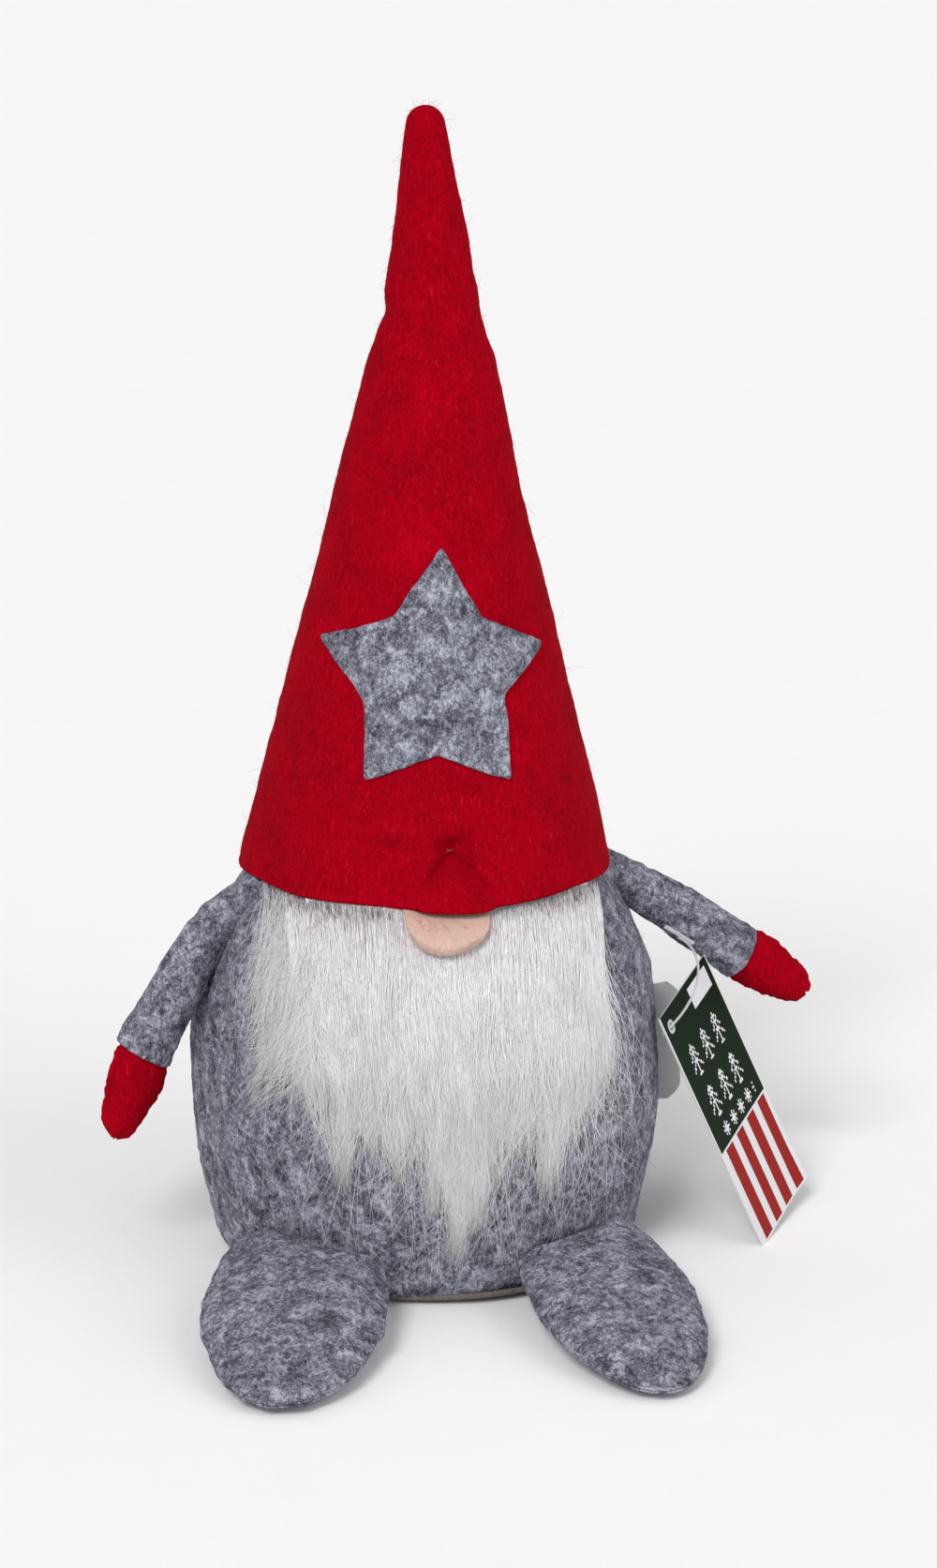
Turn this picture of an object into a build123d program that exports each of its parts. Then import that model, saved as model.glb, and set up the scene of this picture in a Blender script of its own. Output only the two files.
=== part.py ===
from build123d import *
import os
from math import asin, cos, radians, sin

os.makedirs("parts", exist_ok=True)

# A felt gnome sitting on a table. Millimetres, +Z up. The origin is the centre of the
# underside of the base disc. The face looks along -Y and the gnome's left hand is at +X.

total_height = 400.0
felt = 1.5
slack = 0.3
seam_turn = 12.0

# Sitting body: a turned bag of felt, widest at its middle.
base_radius = 66.0
base_thickness = 2.0
foot_round_radius = 75.5
foot_round_height = 9.0
belly_radius = 82.3
belly_height = 58.0
chest_radius = 79.6
chest_height = 97.0
neck_radius = 68.7
neck_height = 124.0
crown_radius = 45.0
crown_height = 152.0
dome_height = 165.0

# Pointed hat, pulled over the top of the body.
hem_height = 138.5
hem_radius = 64.5
kink_low_radius = 21.0
kink_low_height = 316.0
kink_high_radius = 16.0
kink_high_height = 334.0
tip_radius = 6.6
tip_spread = 81.0

# Hand-cut star sewn to the front of the hat: (angle, reach) of each tip and each notch.
star_height = 212.0
star_tips = ((87, 45.0), (161.5, 39.3), (232, 40.8), (306.5, 40.5), (374.5, 38.8))
star_notches = ((122, 26.4), (194, 24.4), (267, 22.4), (350, 22.9), (415, 26.5))

# Nose, beard and the stitch that pulls the hat in above the nose.
nose_radius = 14.8
nose_half_depth = 8.5
nose_height = 134.0
nose_forward = 67.0
backing_thickness = 1.0
pile_thickness = 7.0
stitch_height = 156.0
stitch_radius = 0.6

# Weight in the bottom of the body.
bag_radius = 52.0
bag_height = 26.0
bag_cloth = 0.6

# Arms. The pivot is the middle of the sleeve's closed end.
pivot_radius = 77.0
pivot_height = 121.0
seam_axis_radius = 72.7
sleeve_length = 50.5
sleeve_root_radius = 5.2
sleeve_mid_radius = 8.4
sleeve_cuff_radius = 9.9
mitten_length = 31.0
tab_thickness = 2.0
tab_height = 5.6
left_droop = 34.5
right_droop = 60.0
right_mitten_droop = 10.0

# Feet: padded ovals sewn to the lower body, sloping down to the table.
foot_half_width = 30.0
foot_half_length = 64.0
foot_half_height = 9.0
foot_middle_height = 12.3
foot_centre_x = 53.5
foot_centre_y = -99.0
foot_splay = 8.0
foot_slope = 7.4
heel_radius = 77.5
heel_height = 20.0
sole_clearance = 0.2

# Paper tag and the plastic pin that holds it to the left sleeve.
tag_width = 50.0
tag_length = 94.0
tag_thickness = 0.6
tag_corner = (78.8, -27.9, 85.1)
tag_yaw = 62.5
tag_lean = 10.8
tag_tilt = 21.5
hole_inset = 6.0
hole_radius = 1.6
pin_radius = 0.45
pin_reach = 22.3
pin_side_angle = 55.0

# Care label in the left side seam.
label_reach = 13.5
label_low = 40.0
label_high = 83.0
label_thickness = 1.0


def on_ball(radius, centre, spread):
    """A point on a ball centred on the axis, at an angle down from its top."""
    return (radius * sin(radians(spread)), centre + radius * cos(radians(spread)))


def cap_middle(radius, rise):
    """Half-way point of a round cap: distance from the axis, and height above its rim."""
    ball = (radius ** 2 + rise ** 2) / (2 * rise)
    spread = asin(radius / ball)
    return (ball * sin(spread / 2), rise - ball + ball * cos(spread / 2))


def body_solid(grow=0.0, floor=0.4):
    """The closed body, grown or shrunk by the same amount all over."""
    low = (base_radius + grow, floor)
    side = (foot_round_radius + grow, foot_round_height)
    chest = (chest_radius + grow, chest_height)
    crown = (crown_radius + grow * 0.7, crown_height + grow * 0.7)
    top = (0, dome_height + grow)
    with BuildPart() as part:
        with BuildSketch(Plane.XZ):
            with BuildLine():
                Line((0, floor), low)
                corner = (base_radius + 7.0 + grow, floor + (foot_round_height - floor) * 0.35)
                ThreePointArc(low, corner, side)
                ThreePointArc(side, (belly_radius + grow, belly_height), chest)
                ThreePointArc(chest, (neck_radius + grow, neck_height), crown)
                across, up = cap_middle(crown[0], top[1] - crown[1])
                ThreePointArc(crown, (across, crown[1] + up), top)
                Line(top, (0, floor))
            make_face()
        revolve(axis=Axis.Z)
    return part.part


def hat_solid(grow=0.0):
    """The closed cone of the hat with its soft kink and round tip."""
    with BuildPart() as part:
        with BuildSketch(Plane.XZ):
            with BuildLine():
                hem = (hem_radius + grow, hem_height)
                low = (kink_low_radius + grow, kink_low_height)
                high = (kink_high_radius + grow, kink_high_height)
                ball = tip_radius + grow
                centre = total_height - tip_radius
                shoulder = on_ball(ball, centre, tip_spread)
                bulge = on_ball(ball, centre, tip_spread / 2)
                top = (0, total_height + grow)
                Polyline((0, hem_height), hem, low, high, shoulder)
                ThreePointArc(shoulder, bulge, top)
                Line(top, (0, hem_height))
            make_face()
        revolve(axis=Axis.Z)
    return part.part


def half_space(turn, front):
    """A large block on one side of the upright plane through the side seams."""
    size = 3 * total_height
    side = -size / 2 if front else size / 2
    return Rot(0, 0, turn) * Pos(0, side, 0) * Box(size, size, size)


def star_face():
    points = []
    for tip, notch in zip(star_tips, star_notches):
        for turn, reach in (tip, notch):
            points.append((reach * cos(radians(turn)), reach * sin(radians(turn))))
    return make_face(Polyline(*points, close=True))


def front_prism(face, x, z):
    """Carry a face drawn upright at the front through the whole front half."""
    placed = Plane(origin=(x, 0, z), x_dir=(1, 0, 0), z_dir=(0, -1, 0)) * face
    return extrude(placed, amount=150)


def save(shape, name):
    export_step(shape, "parts/" + name + ".step")


def make_body():
    outer = body_solid()
    inner = body_solid(-felt, base_thickness)
    well = Pos(0, 0, base_thickness / 2) * Cylinder(base_radius, base_thickness)
    stitch_hole = stitch(stitch_radius + 0.15)
    skin = outer - inner - well - stitch_hole
    save(skin & half_space(seam_turn, True), "body_front_panel")
    save(skin & half_space(seam_turn, False), "body_back_panel")
    disc = Cylinder(base_radius - 0.1, base_thickness)
    save(Pos(0, 0, base_thickness / 2) * disc, "base_disc")
    save(weight_solid() - weight_solid(bag_cloth), "weight_bag")
    save(weight_solid(bag_cloth), "weight_pellets")
    padding = body_solid(-felt - 0.05, base_thickness + 0.05)
    save(padding - weight_solid(-0.05) - stitch_hole, "body_stuffing")


def weight_solid(inset=0.0):
    drum = Cylinder(bag_radius - inset, bag_height - 2 * inset)
    drum = fillet(drum.edges(), 6 - inset)
    return Pos(0, 0, base_thickness + slack + bag_height / 2) * drum


def make_hat():
    skin = hat_solid() - hat_solid(-felt)
    save(skin - stitch(stitch_radius + 0.15), "hat_cone")
    padding = hat_solid(-felt - 0.05) - body_solid(slack)
    cut = Pos(0, 0, dome_height + slack - 150) * Box(300, 300, 300)
    save(padding - cut, "hat_stuffing")
    layer = hat_solid(felt + 0.03) - hat_solid(0.03)
    star = front_prism(star_face(), 0, star_height)
    save(layer & star, "star_patch")
    save(stitch(stitch_radius), "hat_tack_stitch")


def stitch(radius):
    """Thread through the hat and the body panel, with a small knot outside."""
    thread = Cylinder(radius, 8)
    knot = Pos(0, 0, 4) * Sphere(radius + 0.5)
    place = Pos(3.5, -58.3, stitch_height) * Rot(90, 0, 0)
    return place * (thread + knot)


def nose_solid(shrink=0.0):
    ball = Sphere(1.0)
    radius = nose_radius - shrink
    puff = scale(ball, by=(radius, nose_half_depth - shrink, radius))
    placed = Pos(1.0, -nose_forward, nose_height) * Rot(-16, 0, 0) * puff
    below = Pos(0, 0, hem_height - slack - shrink - 100) * Box(300, 300, 200)
    body = body_solid(backing_thickness + 2 * slack + shrink)
    return (placed & below) - body


def make_nose():
    outer = nose_solid()
    inner = nose_solid(1.0)
    save(outer - inner, "nose_cover")
    save(inner, "nose_stuffing")


def beard_outline():
    """Front view of the fur: wide under the hem, drawn down to one point."""
    left = (-52, 0)
    right = (62, 0)
    left_low = (-46, -62)
    right_low = (60, -58)
    point = (13, -122)
    edge = Line(left, right)
    edge += Line(right, right_low)
    edge += ThreePointArc(right_low, (40, -96), point)
    edge += ThreePointArc(point, (-24, -98), left_low)
    edge += Line(left_low, left)
    return make_face(edge)


def make_beard():
    inner = body_solid(slack)
    outer = body_solid(slack + backing_thickness)
    strip = make_face(Polyline((-50, -32), (60, -32), (60, 8), (-50, 8), close=True))
    backing = (outer - inner) & front_prism(strip, 0, hem_height)
    save((backing & under_hat_room()) - stitch(stitch_radius + 0.3), "beard_backing")
    fur = body_solid(slack + backing_thickness + pile_thickness)
    fur -= body_solid(2 * slack + backing_thickness)
    fur = fur & front_prism(beard_outline(), 0, hem_height - slack)
    save(fur - nose_pocket(), "beard_pile")


def under_hat_room():
    """Everything below the hem and everything inside the hat's felt."""
    below = Pos(0, 0, hem_height - slack - 100) * Box(300, 300, 200)
    throat = Pos(0, 0, hem_height - 1) * Cylinder(hem_radius - felt - 0.1, 4)
    return below + throat + hat_solid(-felt - 0.05)


def nose_pocket():
    ball = scale(Sphere(1.0), by=(nose_radius + slack, nose_half_depth + slack, nose_radius + slack))
    return Pos(1.0, -nose_forward, nose_height) * Rot(-16, 0, 0) * ball


def make_label():
    height = label_high - label_low
    plate = Box(40, label_thickness, height)
    plate = fillet(plate.edges().filter_by(Axis.Y).group_by(Axis.X)[-1], 5)
    middle = (label_high + label_low) / 2
    reach = belly_radius + label_reach - 20
    placed = Rot(0, 0, seam_turn) * Pos(reach, 0, middle) * plate
    save(placed - body_solid(0.03), "care_label")


def arm_place(side):
    """Frame of an arm: X runs from the pivot to the hand, Z is its upper side."""
    turn = seam_turn if side == "left" else 180 + seam_turn
    droop = left_droop if side == "left" else right_droop
    return Rot(0, 0, turn) * Pos(pivot_radius, 0, pivot_height) * Rot(0, droop, 0)


def turned(points, start_cap, end_cap):
    """A solid of revolution about X with a smooth side and a round cap at each end."""
    first = points[0]
    last = points[-1]
    start = (first[0] - start_cap, 0)
    end = (last[0] + end_cap, 0)
    with BuildPart() as part:
        with BuildSketch(Plane.XY):
            with BuildLine():
                across, up = cap_middle(first[1], start_cap)
                ThreePointArc(start, (first[0] - up, across), first)
                Spline(*points)
                across, up = cap_middle(last[1], end_cap)
                ThreePointArc(last, (last[0] + up, across), end)
                Line(end, start)
            make_face()
        revolve(axis=Axis.X)
    return part.part


def sleeve_solid(inset=0.0):
    root = sleeve_root_radius - inset
    outline = [(0, root), (sleeve_length * 0.45, sleeve_mid_radius - inset)]
    outline += [(sleeve_length, sleeve_cuff_radius - inset)]
    return turned(outline, root, 0.5)


def mitten_solid(droop, inset=0.0):
    """The mitten beyond the cuff, with a slim neck that sits inside the sleeve."""
    neck = sleeve_cuff_radius - felt - slack
    outline = [(-6.0, neck - 1.4 - inset), (-0.5, neck - 0.2 - inset)]
    outline += [(3.0, sleeve_cuff_radius - 0.2 - inset)]
    outline += [(mitten_length * 0.45, sleeve_cuff_radius - 0.4 - inset)]
    outline += [(mitten_length - 5.5, 6.2 - inset)]
    hand = turned(outline, 0.5, 5.5 - inset)
    cuff_gap = sleeve_cuff_radius * sin(radians(droop))
    return Pos(sleeve_length + cuff_gap, 0, 0) * Rot(0, droop, 0) * hand


def tab_solid():
    """Felt tab between the side seam and the slot in the sleeve's end."""
    eye = Rot(90, 0, 0) * Cylinder(tab_height / 2, tab_thickness)
    root = Pos(seam_axis_radius - pivot_radius, 0, 0) * Cylinder(tab_thickness / 2, tab_height)
    bridge_length = pivot_radius - seam_axis_radius
    bridge = Pos(-bridge_length / 2, 0, 0) * Box(bridge_length, tab_thickness, tab_height)
    return eye + bridge + root


def make_arm(side):
    place = arm_place(side)
    droop = 0 if side == "left" else right_mitten_droop
    turn = seam_turn if side == "left" else 180 + seam_turn
    tab_place = Rot(0, 0, turn) * Pos(pivot_radius, 0, pivot_height)
    save(tab_place * tab_solid(), "shoulder_tab_" + side)
    slot = Pos(-4, 0, 0) * Box(16, tab_thickness + 2 * slack, 30)
    hollow = sleeve_solid(felt) - Pos(-20 + 7, 0, 0) * Box(40, 60, 60)
    mouth = Pos(sleeve_length, 0, 0) * Rot(0, 90, 0) * Cylinder(sleeve_cuff_radius - felt, 4)
    beyond = Pos(sleeve_length + 20, 0, 0) * Box(40, 60, 60)
    sleeve = sleeve_solid() - slot - hollow - mouth - beyond
    hand = mitten_solid(droop)
    palm = mitten_solid(droop, felt)
    hand_skin = hand - palm
    padding = sleeve_solid(felt + 0.05) - Pos(-20 + 7.2, 0, 0) * Box(40, 60, 60)
    padding -= Pos(sleeve_length + 10 - 7.5, 0, 0) * Box(20, 60, 60)
    if side == "left":
        sleeve -= pin_shaft(pin_radius + 0.3)
        padding -= pin_shaft(pin_radius + 0.3)
        padding -= pin_anchor(0.5)
    save(place * sleeve, "sleeve_" + side)
    save(place * padding, "arm_stuffing_" + side)
    save(place * hand_skin, "mitten_" + side)
    save(place * palm, "mitten_stuffing_" + side)


def pin_frame():
    """Frame on the left sleeve whose Z points out along the pin's shaft."""
    return Pos(pin_reach, 0, 0) * Rot(180 - pin_side_angle, 0, 0)


def pin_shaft(radius):
    return pin_frame() * Pos(0, 0, 6.4) * Cylinder(radius, 6.4)


def pin_anchor(clear):
    return pin_frame() * Pos(0, 0, 4.2) * Cylinder(4.0 + clear, 1.2 + 2 * clear)


def tag_place():
    return (
        Pos(*tag_corner)
        * Rot(0, 0, tag_yaw)
        * Rot(0, -tag_lean, 0)
        * Rot(-tag_tilt, 0, 0)
    )


def make_tag():
    sheet = Pos(tag_width / 2, 0, -tag_length / 2) * Box(tag_width, tag_thickness, tag_length)
    hole = Pos(hole_inset, 0, -hole_inset) * Rot(90, 0, 0) * Cylinder(hole_radius, 5)
    save(tag_place() * (sheet - hole), "hang_tag")


def make_pin():
    """One nylon pin, in two parts that meet where its thin filament bends."""
    arm = arm_place("left") * pin_frame()
    bar_height = sleeve_mid_radius + 1.7
    anchor = Pos(0, 0, 4.2) * Rot(0, 90, 0) * Cylinder(0.5, 7)
    shaft = Pos(0, 0, (4.2 + bar_height) / 2) * Cylinder(pin_radius, bar_height - 4.2)
    bar = Pos(0, 0, bar_height) * Rot(0, 90, 0) * Cylinder(0.8, 13)
    start = (arm * Pos(0, 0, bar_height + 1.5)).position
    hole = (tag_place() * Pos(hole_inset, 0, -hole_inset)).position
    front = (tag_place() * Pos(hole_inset, -1, -hole_inset)).position - hole
    through = (front + (start - hole).normalized()).normalized()
    behind = hole - through * 2.2
    ahead = hole + through * 2.0
    path = Line(behind, ahead) + TangentArc(ahead, start, tangent=through)
    wire = sweep(Plane(origin=behind, z_dir=through) * Circle(pin_radius), path=path)
    paddle = Plane(origin=behind, z_dir=front) * Box(6, 1.2, 1.0)
    save(arm * (anchor + shaft + bar), "pin_bar")
    save(wire + paddle, "pin_filament")


def foot_place(side):
    """Frame of a foot: Y runs up to the heel, Z is square to the seam round its edge."""
    sign = 1 if side == "left" else -1
    centre = Pos(sign * foot_centre_x, foot_centre_y, foot_middle_height)
    return centre * Rot(0, 0, sign * foot_splay) * Rot(foot_slope, 0, 0)


def foot_lens(side, inset=0.0):
    ball = scale(Sphere(1.0), by=(
        foot_half_width - inset,
        foot_half_length - inset,
        foot_half_height - inset,
    ))
    below = Pos(0, 0, sole_clearance + inset - 50) * Box(500, 500, 100)
    column = Pos(0, 0, heel_height / 2 - 5) * Cylinder(heel_radius + 0.4 + inset, heel_height + 10)
    return foot_place(side) * ball - below - column - body_solid(0.4 + inset)


def make_foot(side):
    outer = foot_lens(side)
    inner = foot_lens(side, felt)
    shell = outer - inner
    low = foot_place(side) * Pos(0, 0, -50) * Box(500, 500, 100)
    save(shell - low, "foot_upper_" + side)
    save(shell & low, "foot_sole_" + side)
    save(inner, "foot_stuffing_" + side)


make_body()
make_hat()
make_nose()
make_beard()
make_label()
for side in ("left", "right"):
    make_arm(side)
    make_foot(side)
make_pin()
make_tag()
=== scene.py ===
import math

import bpy
import numpy as np
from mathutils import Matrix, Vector


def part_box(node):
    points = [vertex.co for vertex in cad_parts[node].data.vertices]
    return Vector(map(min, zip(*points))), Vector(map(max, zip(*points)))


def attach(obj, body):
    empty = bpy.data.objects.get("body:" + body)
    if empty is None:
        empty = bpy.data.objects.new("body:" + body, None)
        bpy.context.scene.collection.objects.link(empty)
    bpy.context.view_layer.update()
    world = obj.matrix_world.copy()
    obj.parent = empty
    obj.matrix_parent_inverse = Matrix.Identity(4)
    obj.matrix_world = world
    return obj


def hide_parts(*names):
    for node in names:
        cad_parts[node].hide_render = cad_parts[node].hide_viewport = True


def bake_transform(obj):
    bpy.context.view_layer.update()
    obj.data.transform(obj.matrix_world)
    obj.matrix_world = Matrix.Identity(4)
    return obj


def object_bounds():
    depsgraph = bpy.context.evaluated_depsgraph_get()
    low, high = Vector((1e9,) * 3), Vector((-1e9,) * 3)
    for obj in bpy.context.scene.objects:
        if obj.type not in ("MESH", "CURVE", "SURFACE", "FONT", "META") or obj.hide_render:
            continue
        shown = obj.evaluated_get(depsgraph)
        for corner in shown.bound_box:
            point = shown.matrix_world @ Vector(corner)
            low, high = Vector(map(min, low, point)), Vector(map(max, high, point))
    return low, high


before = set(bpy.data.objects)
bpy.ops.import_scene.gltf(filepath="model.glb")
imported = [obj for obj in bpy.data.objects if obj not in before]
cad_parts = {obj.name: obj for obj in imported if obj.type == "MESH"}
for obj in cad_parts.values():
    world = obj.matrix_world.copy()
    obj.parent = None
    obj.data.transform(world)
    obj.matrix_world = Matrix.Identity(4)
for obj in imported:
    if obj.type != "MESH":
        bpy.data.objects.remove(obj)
cad_low, cad_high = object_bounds()

# Lengths in this script are millimetres until a mesh is made. Blender gets metres.
MM = 0.001
HAT_TOP = cad_high[2] / MM
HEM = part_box("hat_cone")[0][2] / MM
HEM_RADIUS = 64.5
SEAM_TURN = 12.0
FELT = 1.5

CAMERA_TURN, CAMERA_RISE, CAMERA_FAR = -6, 15.5, 1.54
SENSOR, LENS = 36, 101.7
AIM_SIDE, AIM_HEIGHT = 0.0152, 0.165
WORLD_STRENGTH = 0.52
FLOOR_REACH = 60.0

TACK_TURN, TACK_HEIGHT = 3.3, 156.0
NOSE_WIDE, NOSE_DEEP, NOSE_TALL = 14.6, 9.0, 15.0
NOSE_OUT, NOSE_HEIGHT, NOSE_TILT = 68.0, 139.2, -16

ARM_DROOP = {"left": 34.5, "right": 60.0}
ARM_PIVOT_OUT, ARM_PIVOT_HEIGHT = 77.0, 121.0
SLEEVE_STRAIGHT, CUFF, MITTEN_ROOT = 9.0, 50.5, 51.0
MITTEN_LONG = 31.0

FOOT_SPLAY, FOOT_SLOPE = 8, 7.4
FOOT_MIDDLE = (53.5, -99.0, 12.3)
FOOT_PUFF, FLOOR_GAP = 8.2, 0.25

TAG_WIDE, TAG_LONG, TAG_CELL = 50.0, 94.0, 0.4
TAG_EYE, TAG_HOLE_RADIUS, TAG_RING_RADIUS, TAG_HALF = 6, 1.5, 2.6, 0.28
# Parts of the tag's length where the green and the white band under it end.
GREEN_END, BAND_END = 0.59, 0.602
# Parts of the tag's width: first red stripe, step, width of a stripe, end of the last one.
STRIPE_START, STRIPE_STEP, STRIPE_WIDE, STRIPE_END = 0.10, 0.235, 0.14, 0.846


# ---------------------------------------------------------------- camera, light, floor

def add_object(name, data):
    thing = bpy.data.objects.new(name, data)
    bpy.context.scene.collection.objects.link(thing)
    return thing


def make_camera():
    azimuth, elevation = math.radians(CAMERA_TURN), math.radians(CAMERA_RISE)
    side = Vector((math.cos(azimuth), math.sin(azimuth), 0))
    target = side * AIM_SIDE + Vector((0, 0, AIM_HEIGHT))
    back = Vector((
        math.sin(azimuth) * math.cos(elevation),
        -math.cos(azimuth) * math.cos(elevation),
        math.sin(elevation),
    ))
    data = bpy.data.cameras.new("camera")
    data.sensor_fit = "VERTICAL"
    data.sensor_height = SENSOR
    data.lens = LENS
    data.clip_end = 100
    camera = add_object("camera", data)
    camera.location = target + back * CAMERA_FAR
    camera.rotation_euler = (-back).to_track_quat("-Z", "Y").to_euler()
    bpy.context.scene.camera = camera


def make_sun(name, from_side, strength, soft):
    """Light from far away, so that the whole floor is lit evenly. soft is in degrees."""
    data = bpy.data.lights.new(name, "SUN")
    data.energy = strength
    data.angle = math.radians(soft)
    light = add_object(name, data)
    light.rotation_euler = Vector(from_side).to_track_quat("Z", "Y").to_euler()


def make_studio():
    world = bpy.data.worlds.new("studio")
    world.use_nodes = True
    sky = world.node_tree.nodes["Background"]
    sky.inputs["Color"].default_value = (1, 1, 1, 1)
    sky.inputs["Strength"].default_value = WORLD_STRENGTH
    scene = bpy.context.scene
    scene.world = world
    scene.view_settings.view_transform = "Standard"
    make_sun("key", (-0.5, -0.95, 0.95), 1.75, 22)
    make_sun("fill", (0.95, -0.85, 0.6), 0.75, 50)
    paper = Paint("floor_paper")
    tone = paper.ramp(paper.noise(40, 2), [(0.3, (0.945,) * 3), (0.7, (0.955,) * 3)])
    paper.finish(tone, rough=0.9, bump=paper.noise(900, 3), depth=0.0001)
    r = FLOOR_REACH
    mesh = bpy.data.meshes.new("floor")
    mesh.from_pydata([(-r, -r, 0), (r, -r, 0), (r, r, 0), (-r, r, 0)], [], [(0, 1, 2, 3)])
    mesh.materials.append(paper.material)
    add_object("floor", mesh)


# ---------------------------------------------------------------- materials

class Paint:
    """A node material under construction. Textures use object coordinates, in metres."""

    def __init__(self, name):
        self.material = bpy.data.materials.new(name)
        self.material.use_nodes = True
        self.tree = self.material.node_tree
        self.shader = self.tree.nodes["Principled BSDF"]
        self.place = self.tree.nodes.new("ShaderNodeTexCoord").outputs["Object"]

    def link(self, source, socket):
        self.tree.links.new(source, socket)

    def node(self, kind, **values):
        node = self.tree.nodes.new("ShaderNode" + kind)
        for name, value in values.items():
            node.inputs[name].default_value = value
        return node

    def stretch(self, scale, turn=(0, 0, 0)):
        node = self.node("Mapping", Scale=scale, Rotation=[math.radians(a) for a in turn])
        self.link(self.place, node.inputs["Vector"])
        return node.outputs["Vector"]

    def noise(self, scale, detail=3, rough=0.5, twist=0.0, place=None):
        node = self.node("TexNoise", Scale=scale, Detail=detail, Roughness=rough, Distortion=twist)
        self.link(place or self.place, node.inputs["Vector"])
        return node.outputs["Fac"]

    def wave(self, scale, twist, direction):
        node = self.node("TexWave", Scale=scale, Distortion=twist)
        node.bands_direction = direction
        self.link(self.place, node.inputs["Vector"])
        return node.outputs["Fac"]

    def ramp(self, fac, stops):
        node = self.node("ValToRGB")
        elements = node.color_ramp.elements
        while len(elements) < len(stops):
            elements.new(0.5)
        for element, (where, colour) in zip(elements, stops):
            element.position = where
            element.color = (*colour, 1)
        self.link(fac, node.inputs["Fac"])
        return node.outputs["Color"]

    def fill(self, sockets, values):
        for socket, value in zip(sockets, values):
            if isinstance(value, (int, float)):
                socket.default_value = value
            elif isinstance(value, tuple):
                socket.default_value = (*value, 1)
            else:
                self.link(value, socket)

    def math(self, kind, a, b):
        node = self.node("Math")
        node.operation = kind
        self.fill(node.inputs, (a, b))
        return node.outputs["Value"]

    def total(self, *parts):
        """Weighted sum. Each part is a socket and its weight."""
        result = None
        for socket, weight in parts:
            part = self.math("MULTIPLY", socket, weight)
            result = self.math("ADD", result, part) if result is not None else part
        return result

    def mix(self, fac, a, b):
        node = self.node("Mix")
        node.data_type = "RGBA"
        self.fill((node.inputs[0], node.inputs[6], node.inputs[7]), (fac, a, b))
        return node.outputs[2]

    def layers(self, colour, *coats):
        """Coats of colour over colour. Each is a mask, its strength and the coat's colour."""
        for mask, amount, coat in coats:
            colour = self.mix(self.math("MULTIPLY", mask, amount), colour, coat)
        return colour

    def finish(self, colour, rough=0.9, bump=None, depth=0.0002, **extra):
        inputs = self.shader.inputs
        self.link(colour, inputs["Base Color"])
        inputs["Roughness"].default_value = rough
        for name, value in extra.items():
            inputs[name.replace("_", " ")].default_value = value
        if bump is not None:
            node = self.node("Bump", Strength=1.0, Distance=depth)
            self.link(bump, node.inputs["Height"])
            self.link(node.outputs["Normal"], inputs["Normal"])
        return self.material


def hairs(paint, scale, turn, cut=0.62, length=0.16, twist=0.6):
    """Thin crossing fibres: noise stretched along one direction, cut to its peaks."""
    along = paint.stretch((1, 1, length), turn)
    fine = paint.noise(scale, 2, 0.5, twist, along)
    return paint.ramp(fine, [(cut, (0, 0, 0)), (cut + 0.1, (1, 1, 1))])


def melange_felt(name, dark, middle, light):
    """Grey needle felt: cloudy patches, short streaks, pale and dark hairs on top."""
    paint = Paint(name)
    clouds = paint.noise(150, 5, 0.65, 0.8)
    slant = paint.noise(640, 6, 0.76, 0.7, paint.stretch((1.0, 0.8, 0.75), (18, 35, 12)))
    grain = paint.noise(1500, 3, 0.7, 0.5)
    shift = paint.math("SUBTRACT", grain, 0.5)
    blend = paint.total((clouds, 0.44), (slant, 0.56), (shift, 0.30))
    colour = paint.ramp(blend, [(0.40, dark), (0.50, middle), (0.61, light)])
    pale = tuple(min(1.0, c * 1.25) for c in light)
    colour = paint.layers(
        colour,
        (hairs(paint, 1500, (20, 0, 30), 0.66), 0.55, pale),
        (hairs(paint, 1500, (75, 25, 0), 0.68), 0.45, pale),
        (hairs(paint, 1000, (-35, 10, 55), 0.60, 0.2, 1.2), 0.5, dark),
        (hairs(paint, 1000, (10, 60, -20), 0.61, 0.2, 1.2), 0.4, dark),
    )
    height = paint.total((slant, 0.6), (grain, 0.5))
    return paint.finish(colour, 0.95, height, 0.0005, Specular_IOR_Level=0.08)


def plain_felt(name, dark, light, hair, patch=90, sheen=0.12):
    """One-colour felt with a soft nap."""
    paint = Paint(name)
    clouds = paint.noise(patch, 4, 0.6, 0.6)
    nap = paint.noise(600, 4, 0.7, 1.6, paint.stretch((1.0, 1.0, 0.4), (10, 25, 0)))
    grain = paint.noise(1700, 3, 0.7, 0.4)
    blend = paint.total((clouds, 0.22), (nap, 0.50), (grain, 0.28))
    colour = paint.layers(
        paint.ramp(blend, [(0.40, dark), (0.60, light)]),
        (hairs(paint, 1300, (15, 40, 10), 0.64), 0.6, hair),
        (hairs(paint, 1100, (60, -20, 35), 0.66), 0.4, dark),
    )
    height = paint.total((nap, 0.6), (grain, 0.5))
    soft = {"Sheen_Weight": sheen, "Sheen_Roughness": 0.6} if sheen else {}
    return paint.finish(colour, 0.95, height, 0.0004, Specular_IOR_Level=0.03, **soft)


def fur_paint(name, low, high, streak=900):
    """White fur. It glows a little, for the light that real fur scatters between hairs."""
    paint = Paint(name)
    streaks = paint.noise(streak, 4, 0.7, 0.3, paint.stretch((1, 1, 0.06)))
    tufts = paint.noise(120, 3, 0.6, 0.5, paint.stretch((1, 1, 0.3)))
    colour = paint.ramp(paint.total((streaks, 0.65), (tufts, 0.35)), [(0.34, low), (0.60, high)])
    paint.link(colour, paint.shader.inputs["Emission Color"])
    return paint.finish(colour, 0.6, streaks, 0.0004, Emission_Strength=0.05)


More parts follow.
